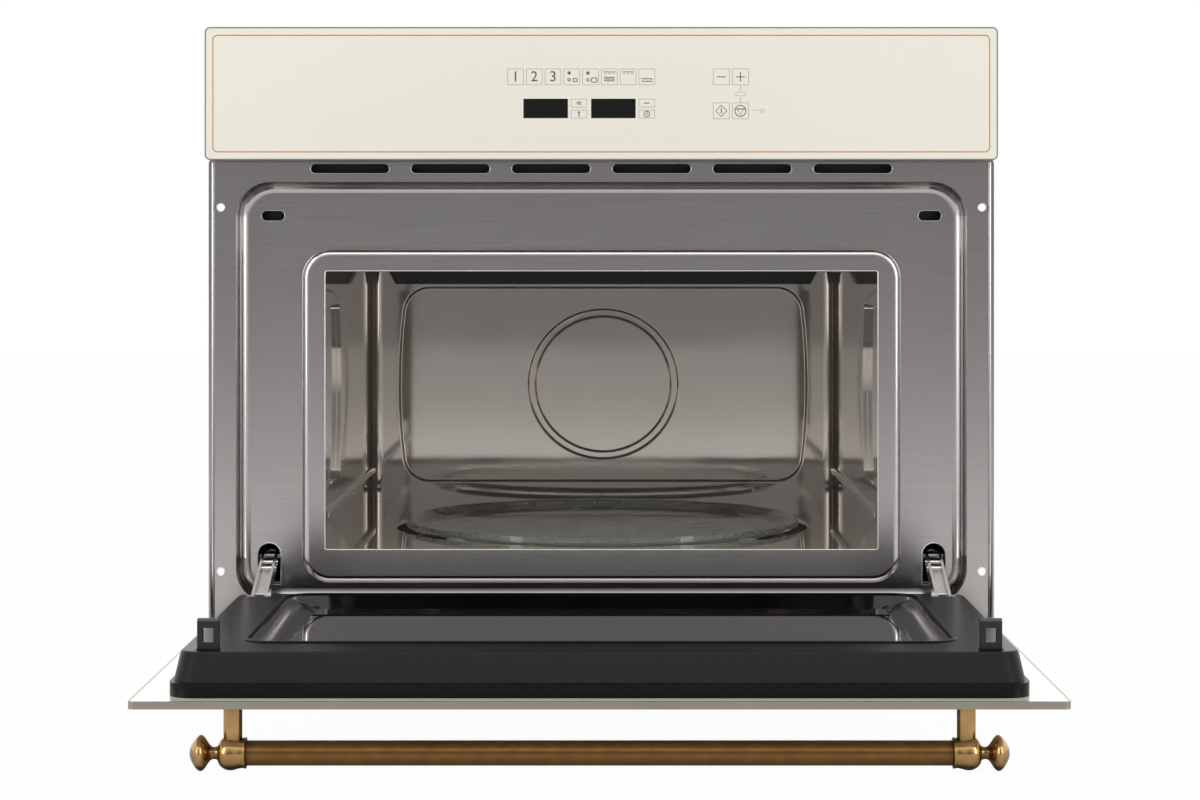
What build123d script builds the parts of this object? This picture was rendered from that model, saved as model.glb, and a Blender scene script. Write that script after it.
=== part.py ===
# Built-in compact microwave oven with a drop-down door, shown with the door open.
# Millimetres, +Z up, -Y towards the user. The origin is the front middle of the base:
# Z = 0 is the underside, Y = 0 the cabinet front that the flange rests against.
from build123d import *
from math import atan2, cos, degrees, hypot, sin
import os

os.makedirs("parts", exist_ok=True)

# Overall sizes
front_width = 595.0
front_top = 455.0
panel_height = 99.8
front_proud = 22.0
housing_half_width = 280.0
housing_top = 446.0
housing_depth = 540.0
sheet = 1.0
base_sheet = 1.2

# Front frame
frame_bottom = 4.0
frame_inset = 0.5
frame_half_width = front_width / 2 - frame_inset
# The flange is joggled where the housing's front edge sits behind it
joggle = 0.3
joggle_gap = 0.6
mouth_half_width = 277.0
mouth_bottom = 20.0
mouth_top = 339.3
mouth_radius = 26.0
recess_depth = 25.0
recess_fillet = 8.0
plateau_face = 13.0
plateau_half_width = 229.0
plateau_bottom = 33.0
plateau_top = 288.5
plateau_radius = 22.0
plateau_roll = 6.0
opening_half_width = 211.0
opening_bottom = 59.0
opening_top = 271.7
lip_height = 5.0
lip_radius = 3.0
screw_x = 288.5
screw_bottom = 44.0
screw_top = 320.0
screw_hole_radius = 2.75
vent_count = 6
vent_pitch = 76.2
vent_length = 60.0
vent_width = 7.5
vent_drop = 5.7
loom_hole_length = 60.0
loom_hole_height = 20.0

# Cavity
cavity_half_width = 213.0
cavity_floor = 56.0
cavity_ceiling = 274.0
cavity_back = 449.0
cavity_corner = 10.0
emboss_width = 377.0
emboss_height = 179.0
emboss_bulge = 7.0
emboss_depth = 7.0
emboss_corner = 24.0
emboss_z = 162.5
ring_radius = 66.0
ring_width = 6.5
rail_z = 84.0
rail_radius = 4.0
side_emboss_depth = 4.0
dish_radius = 172.0
dish_floor = 38.0
turntable_y = 230.0
ring_depth = 3.0
side_emboss_front = 28.0
side_emboss_rear = 159.0
side_emboss_bow = 12.0
side_emboss_low = 104.0
side_emboss_high = 244.0
side_emboss_corner = 8.0
rail_front = 24.0
rail_rear = 436.0
baffle_y = 436.0
baffle_half_width = 201.0
baffle_rake = 10.0
baffle_bottom = 255.5
drive_hole_radius = 6.0


# Grill and microwave feed in the ceiling
grill_half_width = 150.0
grill_front = 80.0
grill_rear = 380.0
reflector_height = 20.0
heater_radius = 3.5
heater_front = 110.0
heater_rear = 350.0
heater_z = 284.0
feed_x = 187.0
feed_half_width = 18.0
feed_front = 120.0
feed_rear = 200.0
magnetron_y = 270.0
magnetron_height = 74.0
antenna_radius = 8.0

# Housing and the parts on the deck
deck_front = 80.0
louvre_y = 470.0
louvre_pitch = 14.0
louvre_count = 14
louvre_length = 46.0
louvre_width = 6.0
inlet_x = -200.0
inlet_z = 400.0
inlet_radius = 11.0
screw_cover_x = 268.0
screw_cover_low = 40.0
screw_cover_high = 420.0
transformer_x = -190.0
transformer_y = 300.0
transformer_height = 74.0
capacitor_x = -90.0
capacitor_y = 250.0
fan_x = 120.0
fan_y = 440.0
fan_z = 372.0
fan_radius = 56.0
fan_hub_radius = 13.0
fan_blades = 5
fan_pitch = 35.0
fan_shaft_radius = 2.5
fan_motor_y = 462.0
fan_motor_length = 40.0
fan_motor_radius = 24.0
lamp_y = 300.0
lamp_z = 220.0
filter_half = 45.0
filter_y = 120.0

# Control panel
panel_edge = 1.0
panel_glass_thickness = 4.0
display_length = 33.3
display_height = 14.6
display_z = 393.9
display_centres = (-41.7, 9.1)
board_half_width = 130.0
board_z = 400.0
board_front = -12.0

# Turntable
tray_radius = 165.0
tray_thickness = 4.5
tray_rim_height = 5.3
roller_radius = 6.9
roller_gap = 0.1
tray_gap = 0.3
roller_track = 140.0
roller_width = 10.0
axle_radius = 2.0
axle_clearance = 0.08
roller_count = 3
ring_inner = 118.0
ring_outer = 128.0
ring_thickness = 4.0
roller_start = 90.0
axle_length = 18.0
tray_flat = 148.0
lug_height = 3.0
lug_radius = 26.0
lug_size = 3.5
coupler_arms = 3
coupler_hub_radius = 12.0
coupler_arm_width = 9.0
motor_top = 37.0
motor_height = 18.0
motor_radius = 25.0
motor_ear = 34.0
motor_shaft_radius = 3.5
motor_shaft_depth = 10.0

# Door, in its open place
door_gap = 3.2
pivot_y = -7.0
pivot_z = 14.0
glass_thickness = 5.0
door_thickness = 32.0
door_foot = 10.0
trim_width = 1.5
door_frame_height = 9.0
door_frame_half_width = 275.0
door_frame_low = 28.0
door_frame_high = 340.0
cover_half_width = 270.0
cover_low = 35.0
cover_high = 323.0
cover_wall = 2.0
cover_corner = 14.0
window_outer_half = 233.0
window_inner_half = 209.0
window_low = 42.0
window_high = 282.0
window_slope = 22.0
window_drop = 7.5
bead_width = 3.0
bead_height = 1.0
frame_wall = 3.0
cover_taper = 3.0
cover_taper_low = 4.0
cover_taper_high = 12.0
cover_roll = 2.0
notch_clearance = 1.0
notch_reach = 12.0
window_corner = 18.0
window_inner_corner = 4.0
window_depth = 10.0
pane_lap = 3.0
choke_height = 3.0
screen_pitch = 14.0
screen_columns = 28
screen_rows = 13
screen_hole = 9.0

# Hinges and stays
knuckle_x = 239.0
knuckle_width = 6.0
knuckle_radius = 5.5
ear_radius = 6.0
ear_width = 3.0
ear_gap = 0.4
pin_radius = 3.0
pin_clearance = 0.05
stay_x = 255.0
stay_width = 12.0
stay_plate = 2.0
stay_radius = 5.0
stay_pin_radius = 2.0
stay_door_y = -33.0
stay_door_z = 26.0
stay_tail_y = 35.0
stay_tail_z = 52.0
slot_width = 18.0
slot_low = 31.0
slot_high = 63.0
cassette_low = 32.0
cassette_high = 67.0
cassette_length = 110.0
case_window_start = 20.0
case_window_length = 26.0
case_window_pitch = 42.0
case_window_edge = 9.0
stay_ear_clearance = 0.4
knuckle_arm = 60.0
bridge_low = 4.8
door_hinge_gap = 1.5
web_thickness = 1.0
guide_pin_reach = 8.4
spring_radius = 4.5
spring_gap = 0.3
rivet_places = (12.0, 22.0)
rivet_height = 0.8
rivet_radius = 2.4
web_end = 6.0

# Latch
latch_x = 252.0
latch_z = 313.0
latch_width = 14.0
latch_thickness = 5.0
latch_reach = 20.0
latch_travel = 2.0
latch_slot_length = 18.0
latch_slot_height = 8.0
latch_base = 1.3
latch_bar_width = 8.0
latch_bar_height = 7.0
guide_spacing = 300.0
spring_length = 14.0

# Handle
handle_z = 322.0
handle_spacing = 470.0
handle_standoff = 33.0
handle_bar_radius = 8.0
handle_post_radius = 6.0
boss_radius = 11.0
boss_length = 18.0
finial_radius = 11.4
finial_length = 18.0
handle_screw_radius = 2.0
screw_depth = 14.0
boss_offset = 0.5
neck_radius = 4.6

# Values that follow from the sizes above
pivot_sum = pivot_y + pivot_z
door_face_z = pivot_z - (front_proud + pivot_y)
panel_bottom = front_top - panel_height
door_top = panel_bottom - door_gap
glass_inner_z = door_face_z + glass_thickness
cover_base_z = glass_inner_z + door_frame_height
inner_plane_z = door_face_z + door_thickness
deck_z = cavity_ceiling + 26.0
roller_z = dish_floor + roller_gap + roller_radius
tray_bottom = roller_z + roller_radius + tray_gap


def opened(height):
    """Y of a point of the open door that stands at this height when the door is shut."""
    return pivot_sum - height


def middle(low, high):
    return (low + high) / 2


def front_plane(y):
    """A plane across the depth: local x is X, local y is Z, and it extrudes towards +Y."""
    return Plane(origin=(0, y, 0), x_dir=(-1, 0, 0), z_dir=(0, 1, 0))


def side_plane(x):
    """A plane across the width: local x is Y, local y is Z, and it extrudes towards +X."""
    return Plane(origin=(x, 0, 0), x_dir=(0, 1, 0), z_dir=(1, 0, 0))


def save(builder, name):
    builder.part.label = name
    export_step(builder.part, f"parts/{name}.step")


def block(x0, x1, y0, y1, z0, z1, mode=Mode.ADD):
    """A rectangular length of stock between its limits, inside the open BuildPart."""
    with BuildSketch(Plane.XY.offset(z0)) as outline:
        with Locations((middle(x0, x1), middle(y0, y1))):
            Rectangle(abs(x1 - x0), y1 - y0)
    extrude(outline.sketch, amount=z1 - z0, mode=mode)


def window_block(y0, y1, half_width, z0, z1, radius, mode=Mode.ADD):
    """A rounded rectangle seen from the front, run from depth y0 to y1."""
    with BuildSketch(front_plane(y0)) as outline:
        with Locations((0, middle(z0, z1))):
            RectangleRounded(2 * half_width, z1 - z0, radius)
    extrude(outline.sketch, amount=y1 - y0, mode=mode)


def cylinder_x(x0, x1, y, z, radius, mode=Mode.ADD):
    """A round bar or bore that runs across the width."""
    with BuildSketch(side_plane(min(x0, x1))) as outline:
        with Locations((y, z)):
            Circle(radius)
    extrude(outline.sketch, amount=abs(x1 - x0), mode=mode)


def cylinder_y(x, y0, y1, z, radius, mode=Mode.ADD):
    """A round bar or bore that runs front to back."""
    with BuildSketch(front_plane(y0)) as outline:
        with Locations((-x, z)):
            Circle(radius)
    extrude(outline.sketch, amount=y1 - y0, mode=mode)


def cylinder_z(x, y, z0, z1, radius, mode=Mode.ADD):
    """A round bar or bore that stands upright."""
    with BuildSketch(Plane.XY.offset(z0)) as outline:
        with Locations((x, y)):
            Circle(radius)
    extrude(outline.sketch, amount=z1 - z0, mode=mode)


# Front frame: one stainless pressing with flange, door recess and raised plateau
with BuildPart() as recess_outside:
    window_block(-sheet / 2, recess_depth + sheet, mouth_half_width + sheet,
                 mouth_bottom - sheet, mouth_top + sheet, mouth_radius)
    fillet(recess_outside.faces().sort_by(Axis.Y)[-1].edges(), recess_fillet + sheet)
with BuildPart() as recess_inside:
    window_block(-2 * sheet, recess_depth, mouth_half_width, mouth_bottom, mouth_top, mouth_radius)
    fillet(recess_inside.faces().sort_by(Axis.Y)[-1].edges(), recess_fillet)
with BuildPart() as plateau_outside:
    window_block(plateau_face, recess_depth + sheet / 2, plateau_half_width,
                 plateau_bottom, plateau_top, plateau_radius)
    fillet(plateau_outside.faces().sort_by(Axis.Y)[0].edges(), plateau_roll)
with BuildPart() as plateau_inside:
    window_block(plateau_face + sheet, recess_depth + 2 * sheet, plateau_half_width - sheet,
                 plateau_bottom + sheet, plateau_top - sheet, plateau_radius - sheet)
    fillet(plateau_inside.faces().sort_by(Axis.Y)[0].edges(), plateau_roll - sheet)
with BuildPart() as front_frame:
    with BuildSketch(front_plane(-sheet)) as flange:
        with Locations((0, middle(frame_bottom, housing_top + sheet))):
            RectangleRounded(2 * frame_half_width, housing_top + sheet - frame_bottom, 2)
    extrude(flange.sketch, amount=sheet)
    block(-housing_half_width - joggle_gap, housing_half_width + joggle_gap, -joggle, sheet,
          frame_bottom - 1, housing_top + joggle_gap, mode=Mode.SUBTRACT)
    add(recess_outside.part)
    add(recess_inside.part, mode=Mode.SUBTRACT)
    add(plateau_outside.part)
    add(plateau_inside.part, mode=Mode.SUBTRACT)
    window_block(plateau_face - sheet, recess_depth, opening_half_width, opening_bottom,
                 opening_top, 1.5, mode=Mode.SUBTRACT)
    with BuildSketch(front_plane(-2 * sheet)) as flange_holes:
        with Locations((0, panel_bottom - vent_drop)):
            with GridLocations(vent_pitch, 1, vent_count, 1):
                SlotOverall(vent_length, vent_width)
        with Locations((0, middle(screw_bottom, screw_top))):
            with GridLocations(2 * screw_x, screw_top - screw_bottom, 2, 2):
                Circle(screw_hole_radius)
        with Locations((0, middle(panel_bottom, front_top))):
            SlotOverall(loom_hole_length, loom_hole_height)
    extrude(flange_holes.sketch, amount=3 * sheet, mode=Mode.SUBTRACT)
    with BuildSketch(front_plane(recess_depth - sheet)) as recess_holes:
        for side in (-1, 1):
            with Locations((side * latch_x, latch_z + latch_travel / 2)):
                SlotOverall(latch_slot_length, latch_slot_height)
            with Locations((side * stay_x, slot_high - slot_width / 2)):
                Circle(slot_width / 2)
            with Locations((side * stay_x, middle(slot_low, slot_high - slot_width / 2))):
                Rectangle(slot_width, slot_high - slot_width / 2 - slot_low)
    extrude(recess_holes.sketch, amount=3 * sheet, mode=Mode.SUBTRACT)
    for side in (-1, 1):
        edge = side * frame_half_width
        inner = edge - side * sheet
        root = inner - side * lip_radius
        with BuildSketch(Plane.XY.offset(frame_bottom)) as lip:
            with BuildLine():
                Line((root, -sheet), (root, -sheet / 2))
                Line((root, -sheet / 2), (edge, -sheet / 2))
                Line((edge, -sheet / 2), (edge, -lip_height))
                Line((edge, -lip_height), (inner, -lip_height))
                Line((inner, -lip_height), (inner, -sheet - lip_radius))
                RadiusArc((inner, -sheet - lip_radius), (root, -sheet), side * lip_radius)
            make_face()
        extrude(lip.sketch, amount=panel_bottom - 1 - frame_bottom)
save(front_frame, "front_frame")


# Cavity: five stainless walls with a dished floor, pressed back and pressed sides
def barrel_block(y0, y1, grow):
    """The back wall's barrel-shaped pressing, its sides bowed out."""
    half_width = emboss_width / 2 + grow - emboss_bulge
    low = emboss_z - emboss_height / 2 - grow
    high = emboss_z + emboss_height / 2 + grow
    with BuildSketch(front_plane(y0)) as outline:
        with BuildLine():
            Line((-half_width, low), (half_width, low))
            ThreePointArc((half_width, low), (half_width + emboss_bulge, emboss_z), (half_width, high))
            Line((half_width, high), (-half_width, high))
            ThreePointArc((-half_width, high), (-half_width - emboss_bulge, emboss_z), (-half_width, low))
        make_face()
        fillet(outline.vertices(), emboss_corner)
    extrude(outline.sketch, amount=y1 - y0)


def side_pressing(side, grow):
    """The bowed pressing near the front of each side wall."""
    low = side_emboss_low - grow
    high = side_emboss_high + grow
    rear = side_emboss_rear + grow
    shoulder = rear - side_emboss_bow
    wall = side * cavity_half_width
    depth = side * (side_emboss_depth + grow)
    with BuildSketch(side_plane(min(wall, wall + depth))) as outline:
        with BuildLine():
            Line((side_emboss_front - grow, low), (shoulder, low))
            ThreePointArc((shoulder, low), (rear, middle(low, high)), (shoulder, high))
            Line((shoulder, high), (side_emboss_front - grow, high))
            Line((side_emboss_front - grow, high), (side_emboss_front - grow, low))
        make_face()
        fillet(outline.vertices(), side_emboss_corner)
    extrude(outline.sketch, amount=abs(depth))


def cavity_form(grow):
    """The closed outer form of the cavity, or its inner space where grow is 0."""
    with BuildPart() as form:
        block(-cavity_half_width - grow, cavity_half_width + grow, plateau_face + (sheet if grow else 0),
              cavity_back + grow, cavity_floor - grow, cavity_ceiling + grow)
        rear_edges = form.edges().filter_by(Axis.Z).group_by(Axis.Y)[-1]
        fillet(rear_edges, cavity_corner + grow)
        barrel_block(cavity_back - 1, cavity_back + emboss_depth + grow, grow)
        cylinder_y(0, cavity_back, cavity_back + emboss_depth + ring_depth + grow, emboss_z,
                   ring_radius + ring_width / 2 + grow)
        cylinder_z(0, turntable_y, dish_floor - grow, cavity_floor + 1, dish_radius + grow)
        for side in (-1, 1):
            side_pressing(side, grow)
    return form.part


with BuildPart() as ring_core:
    cylinder_y(0, cavity_back + emboss_depth, cavity_back + emboss_depth + ring_depth, emboss_z,
               ring_radius - ring_width / 2)

with BuildPart() as cavity_shell:
    add(cavity_form(sheet))
    add(cavity_form(0), mode=Mode.SUBTRACT)
    add(ring_core.part)
    for side in (-1, 1):
        with BuildSketch(front_plane(rail_front)) as rail:
            with Locations((side * cavity_half_width, rail_z)):
                Circle(rail_radius)
            with Locations((side * (cavity_half_width + rail_radius + sheet / 2), rail_z)):
                Rectangle(2 * rail_radius, 2 * rail_radius, mode=Mode.SUBTRACT)
        extrude(rail.sketch, amount=rail_rear - rail_front)
    block(-grill_half_width, grill_half_width, grill_front, grill_rear, cavity_ceiling - 1,
          cavity_ceiling + 2 * sheet, mode=Mode.SUBTRACT)
    block(feed_x - feed_half_width, feed_x + feed_half_width, feed_front, feed_rear,
          cavity_ceiling - 1, cavity_ceiling + 2 * sheet, mode=Mode.SUBTRACT)
    cylinder_z(0, turntable_y, dish_floor - 2 * sheet, dish_floor + 1, drive_hole_radius,
               mode=Mode.SUBTRACT)
save(cavity_shell, "cavity_shell")

with BuildPart() as air_baffle:
    with BuildSketch(front_plane(baffle_y)) as strip:
        Polygon((-baffle_half_width, cavity_ceiling), (-baffle_half_width + baffle_rake, baffle_bottom),
                (baffle_half_width - baffle_rake, baffle_bottom), (baffle_half_width, cavity_ceiling),
                align=None)
    extrude(strip.sketch, amount=sheet)
save(air_baffle, "air_baffle")

# Grill: a reflector tray above the ceiling opening and one bent tubular heater
reflector_base = cavity_ceiling + sheet
with BuildPart() as grill_reflector:
    block(-grill_half_width - 5, grill_half_width + 5, grill_front - 5, grill_rear + 5,
          reflector_base, reflector_base + reflector_height)
    block(-grill_half_width - 4, grill_half_width + 4, grill_front - 4, grill_rear + 4,
          reflector_base - 1, reflector_base + reflector_height - sheet, mode=Mode.SUBTRACT)
    for end in (heater_front, heater_rear):
        cylinder_x(grill_half_width, grill_half_width + 6, end, heater_z,
                   heater_radius + 0.3, mode=Mode.SUBTRACT)
save(grill_reflector, "grill_reflector")

with BuildPart() as grill_heater:
    heater_out = grill_half_width + 9
    heater_pitch = (heater_rear - heater_front) / 3
    heater_turn = grill_half_width - 15
    with BuildLine() as heater_path:
        FilletPolyline((heater_out, heater_front, heater_z), (-heater_turn, heater_front, heater_z),
                       (-heater_turn, heater_front + heater_pitch, heater_z),
                       (heater_turn, heater_front + heater_pitch, heater_z),
                       (heater_turn, heater_rear - heater_pitch, heater_z),
                       (-heater_turn, heater_rear - heater_pitch, heater_z),
                       (-heater_turn, heater_rear, heater_z), (heater_out, heater_rear, heater_z),
                       radius=heater_pitch / 2 - 1)
    with BuildSketch(Plane(origin=heater_path.line @ 0, z_dir=heater_path.line % 0)) as heater_round:
        Circle(heater_radius)
    sweep(heater_round.sketch, path=heater_path.line)
save(grill_heater, "grill_heater")

# Turntable: glass tray, drive coupler, and a ring that runs on three rollers
with BuildPart() as turntable_tray:
    tray_top = tray_bottom + tray_thickness
    with BuildSketch(Plane(origin=(0, turntable_y, 0), x_dir=(1, 0, 0), z_dir=(0, -1, 0))) as tray_profile:
        with BuildLine():
            Polyline((0, tray_bottom), (tray_flat, tray_bottom), (tray_radius, tray_top),
                     (tray_radius, tray_top + tray_rim_height), (tray_radius - 4, tray_top + tray_rim_height),
                     (tray_flat, tray_top), (0, tray_top), (0, tray_bottom))
        make_face()
    revolve(tray_profile.sketch, axis=Axis((0, turntable_y, 0), (0, 0, 1)))
    with BuildSketch(Plane.XY.offset(tray_bottom - lug_height)) as lugs:
        with Locations((0, turntable_y)):
            with PolarLocations(lug_radius, coupler_arms, start_angle=180 / coupler_arms):
                Circle(lug_size)
    extrude(lugs.sketch, amount=lug_height + 1)
save(turntable_tray, "turntable_tray")

with BuildPart() as turntable_coupler:
    cylinder_z(0, turntable_y, dish_floor + 1.5, tray_bottom - 0.2, coupler_hub_radius)
    with BuildSketch(Plane.XY.offset(dish_floor + 5)) as coupler_star:
        with Locations((0, turntable_y)):
            with PolarLocations(0, coupler_arms):
                with Locations((lug_radius / 2 + 2, 0)):
                    Rectangle(lug_radius + 4, coupler_arm_width)
    extrude(coupler_star.sketch, amount=tray_bottom - 0.2 - dish_floor - 5)
    cylinder_z(0, turntable_y, motor_top - motor_shaft_depth, dish_floor + 2, motor_shaft_radius)
save(turntable_coupler, "turntable_coupler")

with BuildPart() as roller_ring:
    with BuildSketch(Plane.XY.offset(roller_z - ring_thickness / 2)) as hoop:
        with Locations((0, turntable_y)):
            Circle(ring_outer)
            Circle(ring_inner, mode=Mode.SUBTRACT)
    extrude(hoop.sketch, amount=ring_thickness)
    for index in range(roller_count):
        spoke = Plane.XY.offset(roller_z).location * Location((0, turntable_y, 0)) \
            * Location((0, 0, 0), (0, 0, roller_start + index * 360 / roller_count))
        with BuildSketch(Plane(spoke * Location((ring_outer - 1, 0, 0), (0, 90, 0)))) as axle:
            Circle(axle_radius)
        extrude(axle.sketch, amount=axle_length + 1)
save(roller_ring, "roller_ring")

for index in range(roller_count):
    with BuildPart() as roller:
        spoke = Location((0, turntable_y, roller_z)) \
            * Location((0, 0, 0), (0, 0, roller_start + index * 360 / roller_count))
        with BuildSketch(Plane(spoke * Location((roller_track - roller_width / 2, 0, 0), (0, 90, 0)))) as rim:
            Circle(roller_radius)
            Circle(axle_radius + axle_clearance, mode=Mode.SUBTRACT)
        extrude(rim.sketch, amount=roller_width)
    save(roller, f"roller_{index + 1}")

with BuildPart() as turntable_motor:
    cylinder_z(0, turntable_y, motor_top - motor_height, motor_top, motor_radius)
    block(-motor_ear, motor_ear, turntable_y - 8, turntable_y + 8, motor_top - 1.5, motor_top)
    cylinder_z(0, turntable_y, motor_top - motor_shaft_depth - 1, motor_top + 1,
               motor_shaft_radius + pin_clearance, mode=Mode.SUBTRACT)
save(turntable_motor, "turntable_motor")

# Housing: base plate, wrap, rear panel with louvres, and the deck over the cavity
with BuildPart() as base_plate:
    block(-housing_half_width, housing_half_width, -sheet, housing_depth, 0, base_sheet)
save(base_plate, "base_plate")

with BuildPart() as housing_wrap:
    block(-housing_half_width, housing_half_width, 0, housing_depth - sheet, base_sheet, housing_top)
    block(-housing_half_width + sheet, housing_half_width - sheet, -1, housing_depth, 0,
          housing_top - sheet, mode=Mode.SUBTRACT)
    with BuildSketch(Plane.XY.offset(housing_top - 2 * sheet)) as top_louvres:
        with Locations((0, louvre_y)):
            with GridLocations(louvre_pitch, 1, louvre_count, 1):
                SlotOverall(louvre_length, louvre_width, rotation=90)
    extrude(top_louvres.sketch, amount=3 * sheet, mode=Mode.SUBTRACT)
save(housing_wrap, "housing_wrap")

with BuildPart() as rear_panel:
    block(-housing_half_width, housing_half_width, housing_depth - sheet, housing_depth,
          base_sheet, housing_top)
    with BuildSketch(front_plane(housing_depth - 2 * sheet)) as rear_louvres:
        with Locations((-fan_x, fan_z)):
            with GridLocations(louvre_pitch, 1, louvre_count // 2, 1):
                SlotOverall(louvre_length, louvre_width, rotation=90)
        with Locations((-inlet_x, inlet_z)):
            Circle(inlet_radius)
    extrude(rear_louvres.sketch, amount=3 * sheet, mode=Mode.SUBTRACT)
save(rear_panel, "rear_panel")

with BuildPart() as cable_gland:
    cylinder_y(inlet_x, housing_depth - sheet, housing_depth, inlet_z, inlet_radius)
    cylinder_y(inlet_x, housing_depth, housing_depth + 4, inlet_z, inlet_radius + 3)
    cylinder_y(inlet_x, housing_depth - sheet - 10, housing_depth + 5, inlet_z, inlet_radius - 4,
               mode=Mode.SUBTRACT)
save(cable_gland, "cable_gland")

with BuildPart() as deck_plate:
    block(-housing_half_width + sheet, housing_half_width - sheet, deck_front, housing_depth - sheet,
          deck_z, deck_z + sheet)
    cylinder_z(feed_x, magnetron_y, deck_z - 1, deck_z + 2, antenna_radius + 2, mode=Mode.SUBTRACT)
save(deck_plate, "deck_plate")

with BuildPart() as cover_screws:
    for screw_row in (-screw_cover_x, screw_cover_x):
        for screw_level in (screw_cover_low, screw_cover_high):
            cylinder_y(screw_row, housing_depth, housing_depth + 2, screw_level, 4)
save(cover_screws, "cover_screws")

# Microwave feed and power parts on the deck
with BuildPart() as waveguide:
    block(feed_x - feed_half_width - 3, feed_x + feed_half_width + 3, feed_front - 3, magnetron_y + 25,
          cavity_ceiling + sheet, deck_z)
    block(feed_x - feed_half_width, feed_x + feed_half_width, feed_front, magnetron_y + 22,
          cavity_ceiling, deck_z - 1.5, mode=Mode.SUBTRACT)
    cylinder_z(feed_x, magnetron_y, deck_z - 2, deck_z + 1, antenna_radius + 2, mode=Mode.SUBTRACT)
save(waveguide, "waveguide")

with BuildPart() as waveguide_cover:
    block(feed_x - feed_half_width - 4, feed_x + feed_half_width + 4, feed_front - 6, feed_rear + 6,
          cavity_ceiling - 0.8, cavity_ceiling)
save(waveguide_cover, "waveguide_cover")

with BuildPart() as magnetron:
    magnetron_base = deck_z + sheet
    block(feed_x - 45, feed_x + 45, magnetron_y - 38, magnetron_y + 38, magnetron_base, magnetron_base + 4)
    for fin in range(7):
        fin_z = magnetron_base + 16 + fin * 6
        block(feed_x - 38, feed_x + 38, magnetron_y - 30, magnetron_y + 30, fin_z, fin_z + 1.2)
    cylinder_z(feed_x, magnetron_y, magnetron_base, magnetron_base + 62, 18)
    block(feed_x - 40, feed_x + 40, magnetron_y - 32, magnetron_y + 32, magnetron_base + 60,
          magnetron_base + magnetron_height)
    cylinder_z(feed_x, magnetron_y, deck_z - 16, magnetron_base + 2, antenna_radius)
save(magnetron, "magnetron")

with BuildPart() as transformer:
    block(transformer_x - 46, transformer_x + 46, transformer_y - 38, transformer_y + 38,
          deck_z + sheet, deck_z + sheet + transformer_height)
    for gap in (-1, 1):
        block(transformer_x + gap * 23 - 7, transformer_x + gap * 23 + 7, transformer_y - 39,
              transformer_y + 39, deck_z + 16, deck_z + 60, mode=Mode.SUBTRACT)
save(transformer, "transformer")

with BuildPart() as transformer_windings:
    for coil_low in (17, 40):
        for gap in (-1, 1):
            block(transformer_x + gap * 23 - 6.8, transformer_x + gap * 23 + 6.8, transformer_y - 52,
                  transformer_y + 52, deck_z + coil_low, deck_z + coil_low + 18)
        for end in (-1, 1):
            block(transformer_x - 29.8, transformer_x + 29.8, transformer_y + end * 45 - 6,
                  transformer_y + end * 45 + 6, deck_z + coil_low, deck_z + coil_low + 18)
save(transformer_windings, "transformer_windings")

with BuildPart() as capacitor:
    with BuildSketch(front_plane(capacitor_y)) as can:
        with Locations((-capacitor_x, deck_z + sheet + 26)):
            SlotOverall(52, 34, rotation=90)
    extrude(can.sketch, amount=95)
    for terminal in (-8, 8):
        cylinder_y(capacitor_x, capacitor_y - 10, capacitor_y + 1, deck_z + sheet + 26 + terminal, 3)
save(capacitor, "capacitor")

# Cooling fan: a shroud plate, a motor on its stand, and a five-blade fan
with BuildPart() as fan_shroud:
    shroud_reach = fan_radius + 12
    block(fan_x - shroud_reach, fan_x + shroud_reach, fan_y - 2, fan_y, deck_z + sheet, housing_top - sheet - 2)
    cylinder_y(fan_x, fan_y - 3, fan_y + 1, fan_z, fan_radius + 3, mode=Mode.SUBTRACT)
save(fan_shroud, "fan_shroud")

with BuildPart() as cooling_fan:
    cylinder_y(fan_x, fan_y - 4, fan_y + 14, fan_z, fan_hub_radius)
    for blade in range(fan_blades):
        turn = Location((fan_x, fan_y + 5, fan_z)) * Location((0, 0, 0), (0, blade * 360 / fan_blades, 0)) \
            * Location((0, 0, fan_hub_radius - 2), (0, 0, fan_pitch))
        with BuildSketch(Plane(turn)) as blade_root:
            Rectangle(30, 1.6)
        outward = Location((0, 0, fan_radius - fan_hub_radius), (0, 0, -fan_pitch / 3))
        with BuildSketch(Plane(turn * outward)) as blade_tip:
            Rectangle(40, 1.2)
        loft([blade_root.sketch.faces()[0], blade_tip.sketch.faces()[0]])
    cylinder_y(fan_x, fan_y + 13, fan_motor_y + 12, fan_z, fan_shaft_radius)
save(cooling_fan, "cooling_fan")

with BuildPart() as fan_motor:
    cylinder_y(fan_x, fan_motor_y, fan_motor_y + fan_motor_length, fan_z, fan_motor_radius)
    block(fan_x - 18, fan_x + 18, fan_motor_y + 4, fan_motor_y + fan_motor_length - 4,
          deck_z + sheet, fan_z)
    cylinder_y(fan_x, fan_motor_y - 1, fan_motor_y + 13, fan_z, fan_shaft_radius + pin_clearance,
               mode=Mode.SUBTRACT)
save(fan_motor, "fan_motor")

with BuildPart() as oven_lamp:
    cylinder_x(-cavity_half_width - sheet - 22, -cavity_half_width - sheet, lamp_y, lamp_z, 16)
    cylinder_x(-cavity_half_width - sheet - 40, -cavity_half_width - sheet - 20, lamp_y, lamp_z, 10)
save(oven_lamp, "oven_lamp")

with BuildPart() as filter_board:
    block(-filter_half, filter_half, filter_y - 35, filter_y + 35, deck_z + sheet + 6, deck_z + sheet + 7.6)
    for corner_x in (-filter_half + 6, filter_half - 6):
        for corner_y in (filter_y - 29, filter_y + 29):
            cylinder_z(corner_x, corner_y, deck_z + sheet, deck_z + sheet + 7, 3)
    cylinder_z(-filter_half / 3, filter_y, deck_z + sheet + 7, deck_z + sheet + 24, 12)
    block(5, filter_half - 8, filter_y - 12, filter_y + 12, deck_z + sheet + 7, deck_z + sheet + 22)
save(filter_board, "filter_board")

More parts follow.
